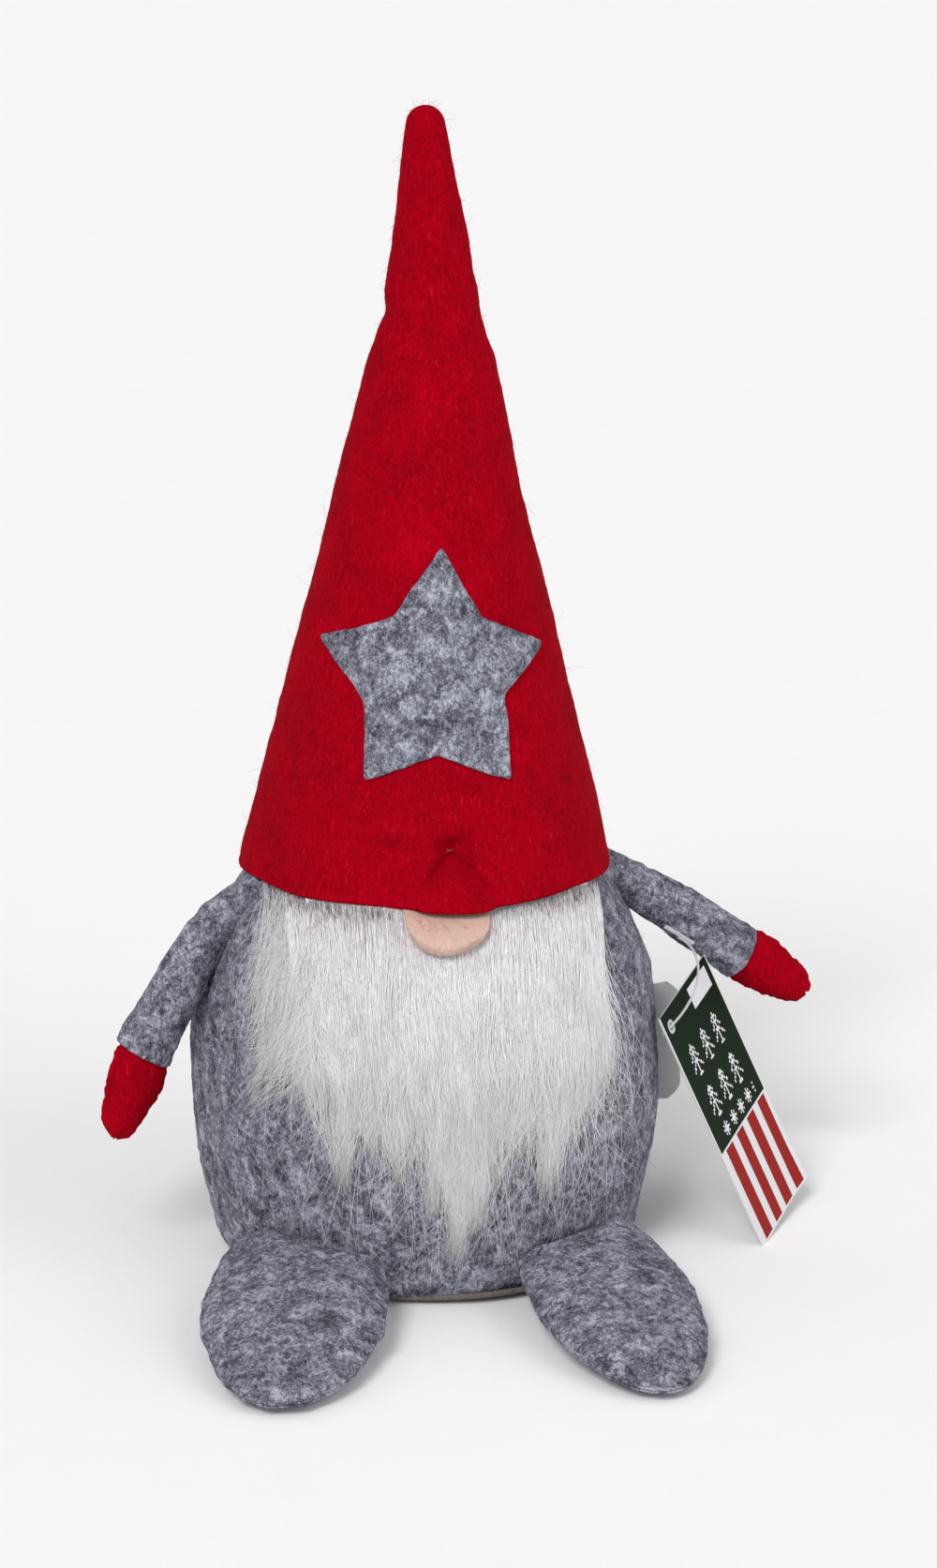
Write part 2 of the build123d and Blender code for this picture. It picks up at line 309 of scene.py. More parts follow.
def thread_paint(name, colour):
    """Twisted thread, with painted shade darkening the grooves between its turns."""
    paint = Paint(name)
    twist = paint.wave(420, 1.5, "DIAGONAL")
    # dark: painted shade in the grooves between the thread's turns, on the same bands as the bump
    dark = tuple(c * 0.6 for c in colour)
    return paint.finish(paint.ramp(twist, [(0.2, dark), (0.8, colour)]), 0.7, twist, 0.0002)


def woven_paint(name, colour, rough=0.8, scale=700, depth=0.0001):
    """Plain weave: warp and weft threads crossing, with painted shade darkening the cloth between
    the crossings, and faint patches.
    """
    paint = Paint(name)
    warp, weft = paint.wave(scale, 0.4, "X"), paint.wave(scale, 0.4, "Z")
    weave = paint.math("MULTIPLY", warp, weft)
    # dark is painted shade between the threads, and the weave mask lifts the crossings back to the
    # full colour; low tints the faint patches
    dark, low = (tuple(c * part for c in colour) for part in (0.9, 0.85))
    shade = paint.layers(dark, (weave, 0.5, colour), (paint.noise(60, 3), 0.2, low))
    return paint.finish(shade, rough, weave, depth)


def card_paint(name, colour, rough=0.55):
    """Printed card: faint mottling of the ink and a very fine paper grain."""
    paint = Paint(name)
    ink = paint.noise(1400, 3, 0.7)
    low = tuple(c * 0.82 for c in colour)
    high = tuple(min(1, c * 1.15) for c in colour)
    shade = paint.ramp(ink, [(0.3, low), (0.7, colour)])
    shade = paint.layers(shade, (paint.noise(70, 3), 0.12, high))
    return paint.finish(shade, rough, ink, 0.00003, Specular_IOR_Level=0.06)


def nylon_paint(name):
    """Clear moulded nylon, a little cloudy."""
    paint = Paint(name)
    flow = paint.noise(300, 3, 0.5, 0.5)
    colour = paint.ramp(flow, [(0.3, (0.74, 0.76, 0.78)), (0.7, (0.86, 0.88, 0.9))])
    return paint.finish(colour, 0.28, flow, 0.0001, Transmission_Weight=0.55, IOR=1.45)


def pellet_paint(name):
    """Filling grains, one cell of noise to each, light in its middle and darkened towards its edge
    as painted shade between the grains.
    """
    paint = Paint(name)
    node = paint.node("TexVoronoi", Scale=330)
    paint.link(paint.place, node.inputs["Vector"])
    far = node.outputs["Distance"]
    # Painted shade: each grain is light near its middle and darker towards the gaps between grains
    colour = paint.ramp(far, [(0.1, (0.82, 0.82, 0.8)), (0.7, (0.5, 0.5, 0.48))])
    return paint.finish(colour, 0.5, far, 0.001)


# ---------------------------------------------------------------- mesh helpers

def ripple(points, size, seed, waves=14):
    """Smooth random field over the points, about -1 to 1, with features of the given size."""
    rng = np.random.default_rng(seed)
    total = np.zeros(points.shape[:-1])
    for _ in range(waves):
        way = rng.normal(size=3)
        way *= 2 * math.pi / size * rng.uniform(0.6, 1.5) / np.linalg.norm(way)
        total += np.sin(points @ way + rng.uniform(0, 2 * math.pi))
    return total / math.sqrt(waves)


def bump(x, middle, width):
    return np.exp(-((x - middle) / width) ** 2)


def smoothstep(x, low, high):
    t = np.clip((x - low) / (high - low), 0, 1)
    return t * t * (3 - 2 * t)


def arc(p0, p1, p2, steps):
    """Points on the circle through three points, from the first to the last."""
    (ax, ay), (bx, by), (cx, cy) = p0, p1, p2
    d = 2 * (ax * (by - cy) + bx * (cy - ay) + cx * (ay - by))
    sa, sb, sc = ax * ax + ay * ay, bx * bx + by * by, cx * cx + cy * cy
    ux = (sa * (by - cy) + sb * (cy - ay) + sc * (ay - by)) / d
    uy = (sa * (cx - bx) + sb * (ax - cx) + sc * (bx - ax)) / d
    start, mid, end = (math.atan2(y - uy, x - ux) for x, y in (p0, p1, p2))
    full = 2 * math.pi
    if (mid - start) % full <= (end - start) % full:
        sweep = (end - start) % full
    else:
        sweep = (end - start) % full - full
    radius = math.hypot(ax - ux, ay - uy)
    turns = start + sweep * np.linspace(0, 1, steps)
    return np.stack([ux + radius * np.cos(turns), uy + radius * np.sin(turns)], 1)


def even_line(points, steps):
    """The same line, resampled at equal distances."""
    points = np.asarray(points, float)
    far = np.concatenate([[0], np.cumsum(np.linalg.norm(np.diff(points, axis=0), axis=1))])
    at = np.linspace(0, far[-1], steps)
    return np.stack([np.interp(at, far, points[:, k]) for k in range(points.shape[1])], 1)


def make_piece(name, verts, faces, materials, indices=None, smooth=True):
    """A mesh object from points in millimetres."""
    mesh = bpy.data.meshes.new(name)
    mesh.from_pydata((np.asarray(verts) * MM).tolist(), [], faces)
    for material in materials:
        mesh.materials.append(material)
    if indices is not None:
        mesh.polygons.foreach_set("material_index", np.asarray(indices, np.int32))
    mesh.polygons.foreach_set("use_smooth", [smooth] * len(mesh.polygons))
    mesh.update()
    return add_object(name, mesh)


def spots(x, y, z):
    """Points from three coordinates, single values or arrays that fit together."""
    return np.stack(np.broadcast_arrays(x, y, z), -1)


def full_turn(count):
    """Evenly spaced angles once round, without repeating the first."""
    return np.linspace(0, 2 * math.pi, count, endpoint=False)


def about_axis(reach, turn, z):
    """Points round the upright axis. turn is in radians from straight ahead towards +X."""
    return spots(reach * np.sin(turn), -reach * np.cos(turn), z)


def grid_faces(rows, cols, wrap, start=0, flip=False):
    faces = []
    for i in range(rows - 1):
        for j in range(cols if wrap else cols - 1):
            k = (j + 1) % cols
            quad = (i * cols + j, i * cols + k, (i + 1) * cols + k, (i + 1) * cols + j)
            quad = tuple(start + q for q in quad)
            faces.append(quad[::-1] if flip else quad)
    return faces


def closed_tube(name, rings, materials):
    """Rings of points joined into a closed skin. Each end gets a fan to its middle."""
    rings = np.asarray(rings)
    rows, cols = rings.shape[:2]
    count, last = rows * cols, (rows - 1) * cols
    verts = np.concatenate([rings.reshape(-1, 3), [rings[0].mean(0), rings[-1].mean(0)]])
    faces = grid_faces(rows, cols, True)
    faces += [(count, (j + 1) % cols, j) for j in range(cols)]
    faces += [(count + 1, last + j, last + (j + 1) % cols) for j in range(cols)]
    return make_piece(name, verts, faces, materials)


def sheet_shell(name, outer, inner, materials):
    """Two matching open grids joined round their edges into one thick sheet."""
    rows, cols = outer.shape[:2]
    size = rows * cols
    verts = np.concatenate([outer.reshape(-1, 3), inner.reshape(-1, 3)])
    faces = grid_faces(rows, cols, False) + grid_faces(rows, cols, False, size, True)
    rim = list(range(cols))
    rim += [i * cols + cols - 1 for i in range(1, rows)]
    rim += [(rows - 1) * cols + j for j in range(cols - 2, -1, -1)]
    rim += [i * cols for i in range(rows - 2, 0, -1)]
    for a, b in zip(rim, rim[1:] + rim[:1]):
        faces.append((b, a, a + size, b + size))
    return make_piece(name, verts, faces, materials)


def strands(name, paths, radii, material):
    """Hairs as closed three-sided tubes. paths is (hairs, points, 3), radii (hairs, points)."""
    count, steps = paths.shape[:2]
    along = np.gradient(paths, axis=1)
    along /= np.linalg.norm(along, axis=2, keepdims=True) + 1e-9
    ref = np.where(np.abs(along[..., 1:2]) < 0.9, np.array([0, 1.0, 0]), np.array([1.0, 0, 0]))
    side = np.cross(along, ref)
    side /= np.linalg.norm(side, axis=2, keepdims=True) + 1e-9
    up = np.cross(side, along)
    verts = np.empty((count, steps, 3, 3))
    for k in range(3):
        turn = 2 * math.pi * k / 3
        way = side * math.cos(turn) + up * math.sin(turn)
        verts[:, :, k] = paths + way * radii[..., None]
    base = np.arange(count)[:, None] * (steps * 3)
    local = []
    for i in range(steps - 1):
        for k in range(3):
            a, b = i * 3 + k, i * 3 + (k + 1) % 3
            local += [(a, b, b + 3), (a, b + 3, a + 3)]
    last = (steps - 1) * 3
    local += [(2, 1, 0), (last, last + 1, last + 2)]
    local = np.array(local).reshape(-1)
    faces = (base + local[None]).reshape(-1, 3)
    return make_piece(name, verts.reshape(-1, 3), faces.tolist(), [material])


def ripples(points, *waves, start=0.0):
    """Sum of ripples over start. Each wave is a size in mm, a seed and a height."""
    for size, seed, height in waves:
        start = start + height * ripple(points, size, seed)
    return start


# ---------------------------------------------------------------- body

def body_line():
    """Outer profile of the body as (distance from the axis, height), from the floor up."""
    low = arc((66.0, 0.4), (73.0, 3.41), (75.5, 9.0), 10)
    belly = arc((75.5, 9.0), (82.3, 58.0), (79.6, 97.0), 40)
    chest = arc((79.6, 97.0), (68.7, 124.0), (45.0, 152.0), 30)
    dome = arc((45.0, 152.0), (23.0, 161.9), (0.3, 165.0), 16)
    return np.concatenate([low, belly[1:], chest[1:], dome[1:]])


BODY = body_line()


def body_radius(z):
    """Radius of the body's outer profile at a height."""
    return np.interp(z, BODY[:, 1], BODY[:, 0])


def body_reach(z):
    """Radius of the body, held steady near its floor and its top."""
    return body_radius(np.clip(z, 3, 160))


def make_body_panel(name, front, material):
    rows, cols = 170, 190
    line = even_line(BODY, rows)
    first = 180 + SEAM_TURN if front else SEAM_TURN
    turns = np.radians(first + np.linspace(0, 180, cols))
    r, z = line[:, 0][:, None], line[:, 1][:, None]
    edge = np.minimum(np.arange(cols), np.arange(cols)[::-1]) / (cols - 1) * 180
    flat = spots(r * np.cos(turns), r * np.sin(turns), z)
    seam = np.exp(-(edge / 1.3) ** 2)[None] * smoothstep(z, 2, 12)
    puff = np.exp(-((edge - 3.4) / 2.2) ** 2)[None] * smoothstep(z, 4, 20)
    wave = ripples(flat, (46, 3, 0.7), (9, 4, 0.16), (2.4, 5, 0.09))
    pucker = np.sin(z * 0.9 + ripple(flat, 20, 6) * 2) * np.exp(-(edge / 5.0) ** 2)[None] * 0.22
    quiet = smoothstep(z, 0.4, 6) * (1 - smoothstep(z, 150, 160))
    push = (wave + puff * 0.5 + pucker) * quiet - seam * 1.6 * quiet
    corner = bump(z, 6.0, 3.5) * ripple(flat, 12, 7) * 0.35
    reach = r + push + corner
    outer = spots(reach * np.cos(turns), reach * np.sin(turns), z)
    slope = np.gradient(line, axis=0)
    slope /= np.linalg.norm(slope, axis=1, keepdims=True)
    in_r, in_z = -slope[:, 1] * FELT, slope[:, 0] * FELT
    reach = np.maximum(r + push + in_r[:, None], 0.2)
    height = np.maximum(z + in_z[:, None], 2.1)
    inner = spots(reach * np.cos(turns), reach * np.sin(turns), height)
    return sheet_shell(name, outer, inner, [material])


def make_base(material):
    """Round brown felt bottom with a raw edge that stands a little proud of the body."""
    cols, rows = 200, 34
    turns = full_turn(cols)
    rng = np.random.default_rng(8)
    jag = np.zeros(cols)
    for k in range(5, 60):
        jag += np.sin(k * turns + rng.uniform(0, 6.28)) * rng.uniform(0, 1) * 0.9 / k
    ahead = np.degrees(np.angle(np.exp(1j * (turns + math.radians(90 - 18)))))
    lip = 0.2 + 2.4 * np.exp(-(ahead / 17.0) ** 2) + jag
    rings = []
    for t in np.arange(rows) / (rows - 1):
        if t < 0.5:
            s = t / 0.5
            reach, height = 68.0 * s + 0.05, 0.05 + 0.15 * s ** 8
        elif t < 0.75:
            s = (t - 0.5) / 0.25
            reach = 68.0 + (5.6 + lip) * s
            height = 0.2 + 2.9 * s ** 1.5 + 0.35 * lip * s ** 2
        else:
            s = (t - 0.75) / 0.25
            roll = 0.9 * math.sin(math.pi * min(1, s * 3))
            reach = 73.6 + lip - (8 + lip) * s
            height = 3.1 + 0.35 * lip + roll - 1.2 * s
        rings.append(spots(reach * np.cos(turns), reach * np.sin(turns), height))
    return closed_tube("base_felt", rings, [material])


# ---------------------------------------------------------------- hat and star

def hat_line():
    """Outer profile of the hat's plain cone, from the hem to the round tip."""
    tip, spread = 6.6, math.radians(81)
    middle = HAT_TOP - tip
    start = (tip * math.sin(spread), middle + tip * math.cos(spread))
    ball = [(tip * math.sin(spread * t), middle + tip * math.cos(spread * t))
            for t in np.linspace(1, 0.02, 14)]
    side = [(HEM_RADIUS, HEM), (21.0, 316.0), (18.6, 322.5), (16.6, 329.5), (16.0, 334.0), start]
    return np.array(side + ball[1:])


HAT = hat_line()


def hat_lean(z):
    """How far the hat's middle line leans to the gnome's left at a height."""
    return 0.7 + 1.9 * bump(z, 330, 42) + 0.8 * bump(z, 250, 60)


def hat_shape(turn, r, z):
    """Moves a point of the hat's plain cone into its worn, tacked shape. turn is in
    radians from straight ahead towards +X."""
    plain = about_axis(r, turn, z)
    left = np.maximum(0, np.cos(turn + math.radians(96)))
    fade = smoothstep(r, 3, 12)
    reach = r + ripple(plain, 70, 11) * 0.45 * fade
    reach = reach + ripple(plain, 14, 12) * 0.10 * fade + ripple(plain, 3.2, 13) * 0.08 * fade
    reach = reach - 1.5 * left ** 2 * bump(z, 331, 4.5) - 0.5 * left ** 2 * bump(z, 318, 9)
    reach = reach - 0.9 * bump(z, 344, 3) * np.maximum(0, np.cos(turn - 2.2)) ** 2
    around = np.degrees(turn)
    tack_turn, tack_z = TACK_TURN, TACK_HEIGHT
    near = np.exp(-((around - tack_turn) / 6.0) ** 2 - ((z - tack_z) / 5.0) ** 2)
    drop = np.clip((tack_z - z) / (tack_z - HEM), 0, 1.1)
    below = smoothstep(drop, 0.0, 0.3)
    fold_left = np.exp(-((around - (tack_turn - 13.0 * drop)) / 3.0) ** 2)
    fold_right = np.exp(-((around - (tack_turn + 12.5 * drop)) / 2.8) ** 2)
    between = np.exp(-((around - tack_turn + 1) / 14.5) ** 4) * smoothstep(drop, 0.25, 1.0)
    above = np.exp(-((around - tack_turn) / 4.0) ** 2) * np.clip((z - tack_z) / 9, 0, 1)
    above = above * np.exp(-np.maximum(0, z - tack_z - 8) / 9)
    above = above + 0.7 * np.exp(-((around - tack_turn - 0.9 * (z - tack_z)) / 2.6) ** 2) * (
        smoothstep(z, tack_z, tack_z + 6) * (1 - smoothstep(z, tack_z + 8, tack_z + 20)))
    edge_calm = 1 - 0.72 * smoothstep(drop, 0.45, 0.95)
    reach = reach - 8.0 * near - (5.4 * fold_left + 6.0 * fold_right) * below * edge_calm
    reach = reach + 5.2 * between - 1.8 * above
    hem_near = 1 - smoothstep(z, HEM, HEM + 26)
    reach = reach + hem_near * (1.1 * np.sin(3 * turn + 0.6) * 0.5 + 0.5 * np.sin(7 * turn))
    lift = hem_near * (0.6 * np.sin(2 * turn + 1.1) + 0.3 * np.sin(9 * turn + 0.3))
    lift = lift * smoothstep(np.abs(around), 5, 30) + 0.4 * hem_near
    seam = np.exp(-((180 - np.abs(around)) / np.maximum(2.2, 90 / np.maximum(r, 6))) ** 2)
    reach = reach - 0.9 * seam * fade
    back = 1.2 * bump(z, 345, 40)
    return spots(reach * np.sin(turn) + hat_lean(z), -reach * np.cos(turn) + back, z + lift)


def make_hat(material):
    cols, rows, inside = 288, 236, 26
    line = even_line(HAT, rows)
    turns = np.linspace(-math.pi, math.pi, cols, endpoint=False)[None]
    r, z = line[:, 0][:, None], line[:, 1][:, None]
    outer = hat_shape(turns, r, z)
    inner = hat_shape(turns, r[:inside] - 1.55, z[:inside] + 0.15)
    outer[0, :, 2] += 0.35
    rim = (outer[0] + inner[0]) / 2
    rim[:, 2] -= 0.5
    verts = np.concatenate([inner[::-1].reshape(-1, 3), rim, outer.reshape(-1, 3)])
    rings = verts.reshape(-1, cols, 3)
    return closed_tube("hat_felt", rings, [material])


def star_outline(steps):
    """The hand-cut star in front view, (x, height), with slightly softened corners."""
    low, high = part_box("star_patch")
    cx = (low[0] + high[0]) / 2 / MM - 0.15
    cz = high[2] / MM - 44.94
    tips = ((87, 45.0), (14.5, 38.8), (-53.5, 40.5), (-128, 40.8), (161.5, 39.3))
    dips = ((55, 26.5), (-10, 22.9), (-93, 22.4), (-166, 24.4), (122, 26.4))
    corners = []
    for tip, dip in zip(tips, dips):
        for turn, far in (tip, dip):
            angle = math.radians(turn)
            corners.append((cx + far * math.cos(angle), cz + far * math.sin(angle)))
    corners = np.array(corners)
    line = []
    count = len(corners)
    for i in range(count):
        before, here, after = corners[i - 1], corners[i], corners[(i + 1) % count]
        cut = 1.6 if i % 2 == 0 else 0.8
        a = here + (before - here) / np.linalg.norm(before - here) * cut
        b = here + (after - here) / np.linalg.norm(after - here) * cut
        for t in np.linspace(0, 1, 5):
            line.append((1 - t) ** 2 * a + 2 * t * (1 - t) * here + t * t * b)
    line.append(line[0])
    closed = even_line(line, steps + 1)[:-1]
    wobble = ripple(np.c_[closed, np.zeros(len(closed))], 9, 21) * 0.25
    out = closed - np.array([cx, cz])
    out /= np.linalg.norm(out, axis=1, keepdims=True)
    return closed + out * wobble[:, None], np.array([cx, cz])


def hat_point(x, z, proud):
    """The point of the worn hat seen straight from the front at (x, z), standing proud."""
    r = np.interp(z, HAT[:, 1], HAT[:, 0])
    turn = np.arcsin(np.clip((x - hat_lean(z)) / r, -1, 1))
    return hat_shape(turn, r + proud, z)


def make_star(material):
    steps, rows = 240, 26
    outline, middle = star_outline(steps)
    rings = []
    shares = np.concatenate([np.linspace(0.02, 0.9, rows - 6), np.linspace(0.92, 1.0, 6)])
    for share in shares:
        flat = middle + (outline - middle) * share
        proud = 1.75 - 0.9 * np.clip((share - 0.965) / 0.035, 0, 1) ** 2
        rings.append(hat_point(flat[:, 0], flat[:, 1], proud))
    for share in (1.004, 0.999, 0.97, 0.6, 0.02):
        flat = middle + (outline - middle) * share
        proud = 0.5 if share > 1 else 0.12
        rings.append(hat_point(flat[:, 0], flat[:, 1], proud))
    return closed_tube("star_felt", rings, [material])


# ---------------------------------------------------------------- nose

def make_nose(material):
    """A tilted felt ball, pressed back where the hat's hem lies over it."""
    low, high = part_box("nose_cover")
    cx = (low[0] + high[0]) / 2 / MM
    rows, cols = 70, 110
    turns = full_turn(cols)
    tilt = math.radians(NOSE_TILT)
    hem_z = [122, 131, 134, 136.5, 138.5, 141, 152]
    hem_y = [82, 75.5, 72.0, 68.0, 63.0, 57.0, 46]
    rings = []
    for t in np.linspace(0.02, math.pi - 0.02, rows):
        ball = spots(np.sin(t) * np.cos(turns), -np.sin(t) * np.sin(turns), np.cos(t))
        points = ball * np.array([NOSE_WIDE, NOSE_DEEP, NOSE_TALL])
        points = points * (1 + 0.02 * ripple(ball * 10, 9, 31)[:, None])
        points = points * (1 + 0.008 * ripple(ball * 14, 2.2, 32)[:, None])
        y = points[:, 1] * math.cos(tilt) - points[:, 2] * math.sin(tilt) - NOSE_OUT
        z = points[:, 1] * math.sin(tilt) + points[:, 2] * math.cos(tilt) + NOSE_HEIGHT
        free = 2 - np.interp(z, hem_z, hem_y)
        y = np.where(y < free, free - 2 * np.tanh((free - y) / 2), y)
        rings.append(spots(points[:, 0] + cx, y, z))
    return closed_tube("nose_felt", rings, [material])


# ---------------------------------------------------------------- beard

FUR_LEFT, FUR_RIGHT = -53, 61
BEARD_X = np.array([-60, -51, -45, -38, -30, -15, 0, 8, 20, 35, 50, 57, 61])
BEARD_END = np.array([120, 108, 96, 83, 76, 70, 64, 64, 69, 71, 73, 80, 100])

# Locks that hang below the dense fur: root x, tip x, tip height, half width, share of the hairs.
LOCKS = np.array([
    (-48, -63, 80, 5, 2), (-46, -66, 62, 6, 2), (-46, -45, 68, 6, 6), (-38, -36, 42, 7, 7),
    (-30, -25, 55, 7, 8), (-21, -17, 46, 6, 7), (-10, -5, 34, 6, 8), (1, 3, 15, 6, 7),
    (7, 9, 28, 6, 8), (15, 15, 46, 6, 7), (23, 24, 54, 6, 7), (33, 34, 36, 7, 8),
    (44, 41, 56, 7, 7), (53, 49, 66, 5, 5),
], float)
LOCK_BEND = np.random.default_rng(90).normal(size=len(LOCKS)) * 2.4


def beard_end(x):
    return np.interp(x, BEARD_X, BEARD_END)


def on_front(x, z, proud):
    """The point of the body seen straight from the front at (x, z), standing proud."""
    reach = body_reach(z) + proud
    side = np.clip(x, -0.985 * reach, 0.985 * reach)
    return spots(side, -np.sqrt(reach ** 2 - side ** 2), z)


def beard_swing(root, share):
    """Sideways way of the fur: outer tufts turn inwards, most of all on the right hand."""
    inward = np.where(root < -20, (-20 - root) * 0.42, 0.0)
    middle = -(root - 4) * 0.30 * np.exp(-((root - 4) / 17) ** 2)
    edge = np.where(root > 44, -(root - 44) * 0.22, 0.0)
    return root + inward * share ** 2.0 + (middle + edge) * share ** 1.5


def fur_proud(x, z, proud):
    """Fur swells out right below the hat's hem and parts round the nose."""
    nose = np.exp(-((x - 1) / 14.0) ** 4) * smoothstep(z, 117, 123)
    swell = np.interp(z, [100, 118, 128, 134, HEM], [0.0, 1.6, 2.9, 3.2, 2.9])
    proud = proud * (1 - 0.80 * nose) + swell * (1 - nose) * (proud > 0.45)
    under = smoothstep(z, HEM - 2.2, HEM + 0.9)
    tuck = HEM_RADIUS - 2.6 - body_reach(z)
    return proud * (1 - under) + tuck * under


def make_beard_core(material):
    """The close mass of fur under the loose strands."""
    cols, rows = 320, 110
    left, right = -45, 53
    roots = np.linspace(left, right, cols)[None]
    share = np.linspace(0, 1, rows)[:, None]
    top = HEM + 2.0
    ragged = ripple(spots(roots, 0, 0), 7, 40) * 4
    length = (top - beard_end(roots)) * 0.70 + ragged
    z = top - length * share
    x = beard_swing(roots, share * 0.8)
    sample = spots(x, z * 0.12, 0)
    ridge = ripples(sample, (11, 41, 0.8), (4, 42, 0.45), (1.6, 43, 0.25))
    edge = smoothstep(roots, left, left + 10) * (1 - smoothstep(roots, right - 10, right))
    thick = 2.2 + 1.2 * smoothstep(share, 0.10, 0.4) * (1 - smoothstep(share, 0.55, 1.0) * 0.9)
    thick = thick * (0.2 + 0.8 * edge) + ridge * 0.5 * smoothstep(share, 0.05, 0.3) * edge
    proud = fur_proud(x, z, np.maximum(thick, 0.4) + 0.3)
    outer = on_front(x, z, proud)
    inner = on_front(x, z, proud - np.maximum(thick, 0.4))
    return sheet_shell("beard_mass", outer[:, ::-1], inner[:, ::-1], [material])


def tuft_pull(root, share, centres, pull):
    """Draw the lower part of each hair towards the line of its tuft."""
    nearest = centres[np.abs(root - centres[None]).argmin(1)][:, None]
    return (nearest - root) * pull * share ** 1.6


def make_strand_set(name, seed, count, material, size, layers, wild):
    """Fur hairs: seven in ten fill the dense part, the others run down into the locks."""
    rng = np.random.default_rng(seed)
    steps = 9
    share = np.linspace(0, 1, steps)[None] ** 1.3
    locked = rng.uniform(0, 1, count) < 0.30
    lock = LOCKS[rng.choice(len(LOCKS), count, p=LOCKS[:, 4] / LOCKS[:, 4].sum())]
    bend = LOCK_BEND[np.abs(LOCKS[None, :, 0] - lock[:, :1]).argmin(1)]
    root = FUR_LEFT + (FUR_RIGHT - FUR_LEFT) * rng.beta(1.2, 1.2, count)
    root = np.where(locked, lock[:, 0] + rng.normal(size=count) * lock[:, 3], root)
    root = np.where(root > 56, 56 - (root - 56) * 0.6, root)
    root = np.where(root < -51, -51 - (root + 51) * 0.6, root)
    top = HEM + 1.0 - 46 * rng.uniform(0, 1, count) ** 1.25
    top = top - 1.6 * smoothstep(np.abs(root - 3), 42, 50)
    lumps = ripple(spots(root, 0, 0), 7, 91) * 4.5
    end = beard_end(root) + lumps + rng.normal(size=count) * 4.5
    short = rng.uniform(0, 1, count) < 0.5
    end = np.where(short, end + (top - end) * rng.uniform(0.05, 0.5, count), end)
    lock_end = lock[:, 2] + rng.gamma(1.3, 14.0, count)
    end = np.where(locked, lock_end, end)
    end = np.maximum(np.minimum(end, top - 15), 5)
    root, top, end, locked = root[:, None], top[:, None], end[:, None], locked[:, None]
    z = top + (end - top) * share
    fill = beard_swing(root, share)
    small = np.sort(rng.uniform(-60, 63, 60))
    fill = fill + tuft_pull(root, share, small, rng.uniform(0.1, 0.9, (count, 1)))
    fill = fill + rng.normal(size=(count, 1)) * wild * share ** 1.5
    tip = lock[:, 1:2] + rng.normal(size=(count, 1)) * 1.7
    drawn = root + (tip - root) * share ** 1.7 + bend[:, None] * np.sin(share * math.pi)
    x = np.where(locked, drawn, fill)
    wave = spots(root, z * 0.55, 0)
    x = x + ripple(wave, 18, 92) * 2.4 * smoothstep(share, 0.03, 0.5) * (1 - 0.5 * share)
    x = x + ripple(wave, 6, seed) * 0.6 * smoothstep(share, 0.05, 0.5)
    x = x + np.sin(share * rng.uniform(2, 8, (count, 1)) + rng.uniform(0, 6.3, (count, 1))) * (
        rng.uniform(0.1, 0.8, (count, 1)))
    inland = smoothstep(58 - np.abs(root - 3), 0, 13)
    depth = rng.uniform(*layers, (count, 1)) * (0.3 + 0.7 * inland)
    lie = 0.25 + 0.75 * smoothstep(z, 56, 88)
    proud = 1.0 + depth * (0.78 + 0.22 * smoothstep(share, 0, 0.2)) * lie
    proud = proud * (1 - 0.45 * smoothstep(share, 0.6, 1.0))
    proud = proud + np.sin(share * 5 + rng.uniform(0, 6.3, (count, 1))) * 0.4 * share
    paths = on_front(x, z, fur_proud(x, z, np.maximum(proud, 0.5)))
    thick = size * rng.uniform(0.7, 1.2, (count, 1)) * (1 - 0.75 * share ** 1.5)
    return strands(name, paths, thick, material)


def make_wisps(name, seed, count, material, size):
    """Single long hairs that stray over the grey body below and beside the beard."""
    rng = np.random.default_rng(seed)
    steps = 13
    share = np.linspace(0, 1, steps)[None]
    root = rng.uniform(-57, 60, count)
    end = beard_end(root)
    top = np.minimum(end + rng.uniform(6, 34, count), HEM - 5)
    end = np.maximum(end - rng.gamma(2.2, 9.5, count), 5 + rng.uniform(0, 9, count))
    lean = rng.normal(size=count) * 11 + np.where(root < -25, -9, 0) * rng.uniform(0, 1.6, count)
    bend = rng.normal(size=count) * 6
    root, top, end = root[:, None], top[:, None], end[:, None]
    x = beard_swing(root, 0.8) + lean[:, None] * share ** 1.3
    x = x + bend[:, None] * np.sin(share * math.pi)
    z = top + (end - top) * share
    proud = 2.4 + rng.uniform(0, 2.6, (count, 1)) * np.sin(share * math.pi)
    proud = np.maximum(proud - 1.4 * share * rng.uniform(0, 1.2, (count, 1)), 0.7)
    paths = on_front(x, z, fur_proud(x, z, proud))
    thick = size * rng.uniform(0.7, 1.3, (count, 1)) * (1 - 0.55 * share)
    return strands(name, paths, thick, material)


def make_shed(name, seed, count, material):
    """Loose red fibres from the hat's cut edge, lying on the fur and the nose."""
    rng = np.random.default_rng(seed)
    steps = 7
    share = np.linspace(-1, 1, steps)[None]
    x = rng.uniform(-50, 55, (count, 1))
    z = HEM - 1.0 - rng.gamma(1.6, 3.0, (count, 1))
    way = rng.uniform(0, math.pi, (count, 1))
    half = rng.uniform(1.2, 3.6, (count, 1))
    curl = rng.normal(size=(count, 1)) * 1.2
    across = x + share * half * np.cos(way) - curl * share ** 2 * np.sin(way)
    up = z + share * half * np.sin(way) + curl * share ** 2 * np.cos(way)
    near_nose = np.exp(-((across - 1) / 13.5) ** 6)
    over_fur = 7.6 * (1 - smoothstep(up, HEM - 7, HEM + 1)) + 1.5
    nose = np.interp(up, [123, 126, 131, 135, 138], [72, 74.5, 74.5, 71.5, 68])
    proud = over_fur * (1 - near_nose) + (nose - body_reach(up)) * near_nose
    paths = on_front(across, up, proud)
    return strands(name, paths, np.full(paths.shape[:2], 0.038), material)


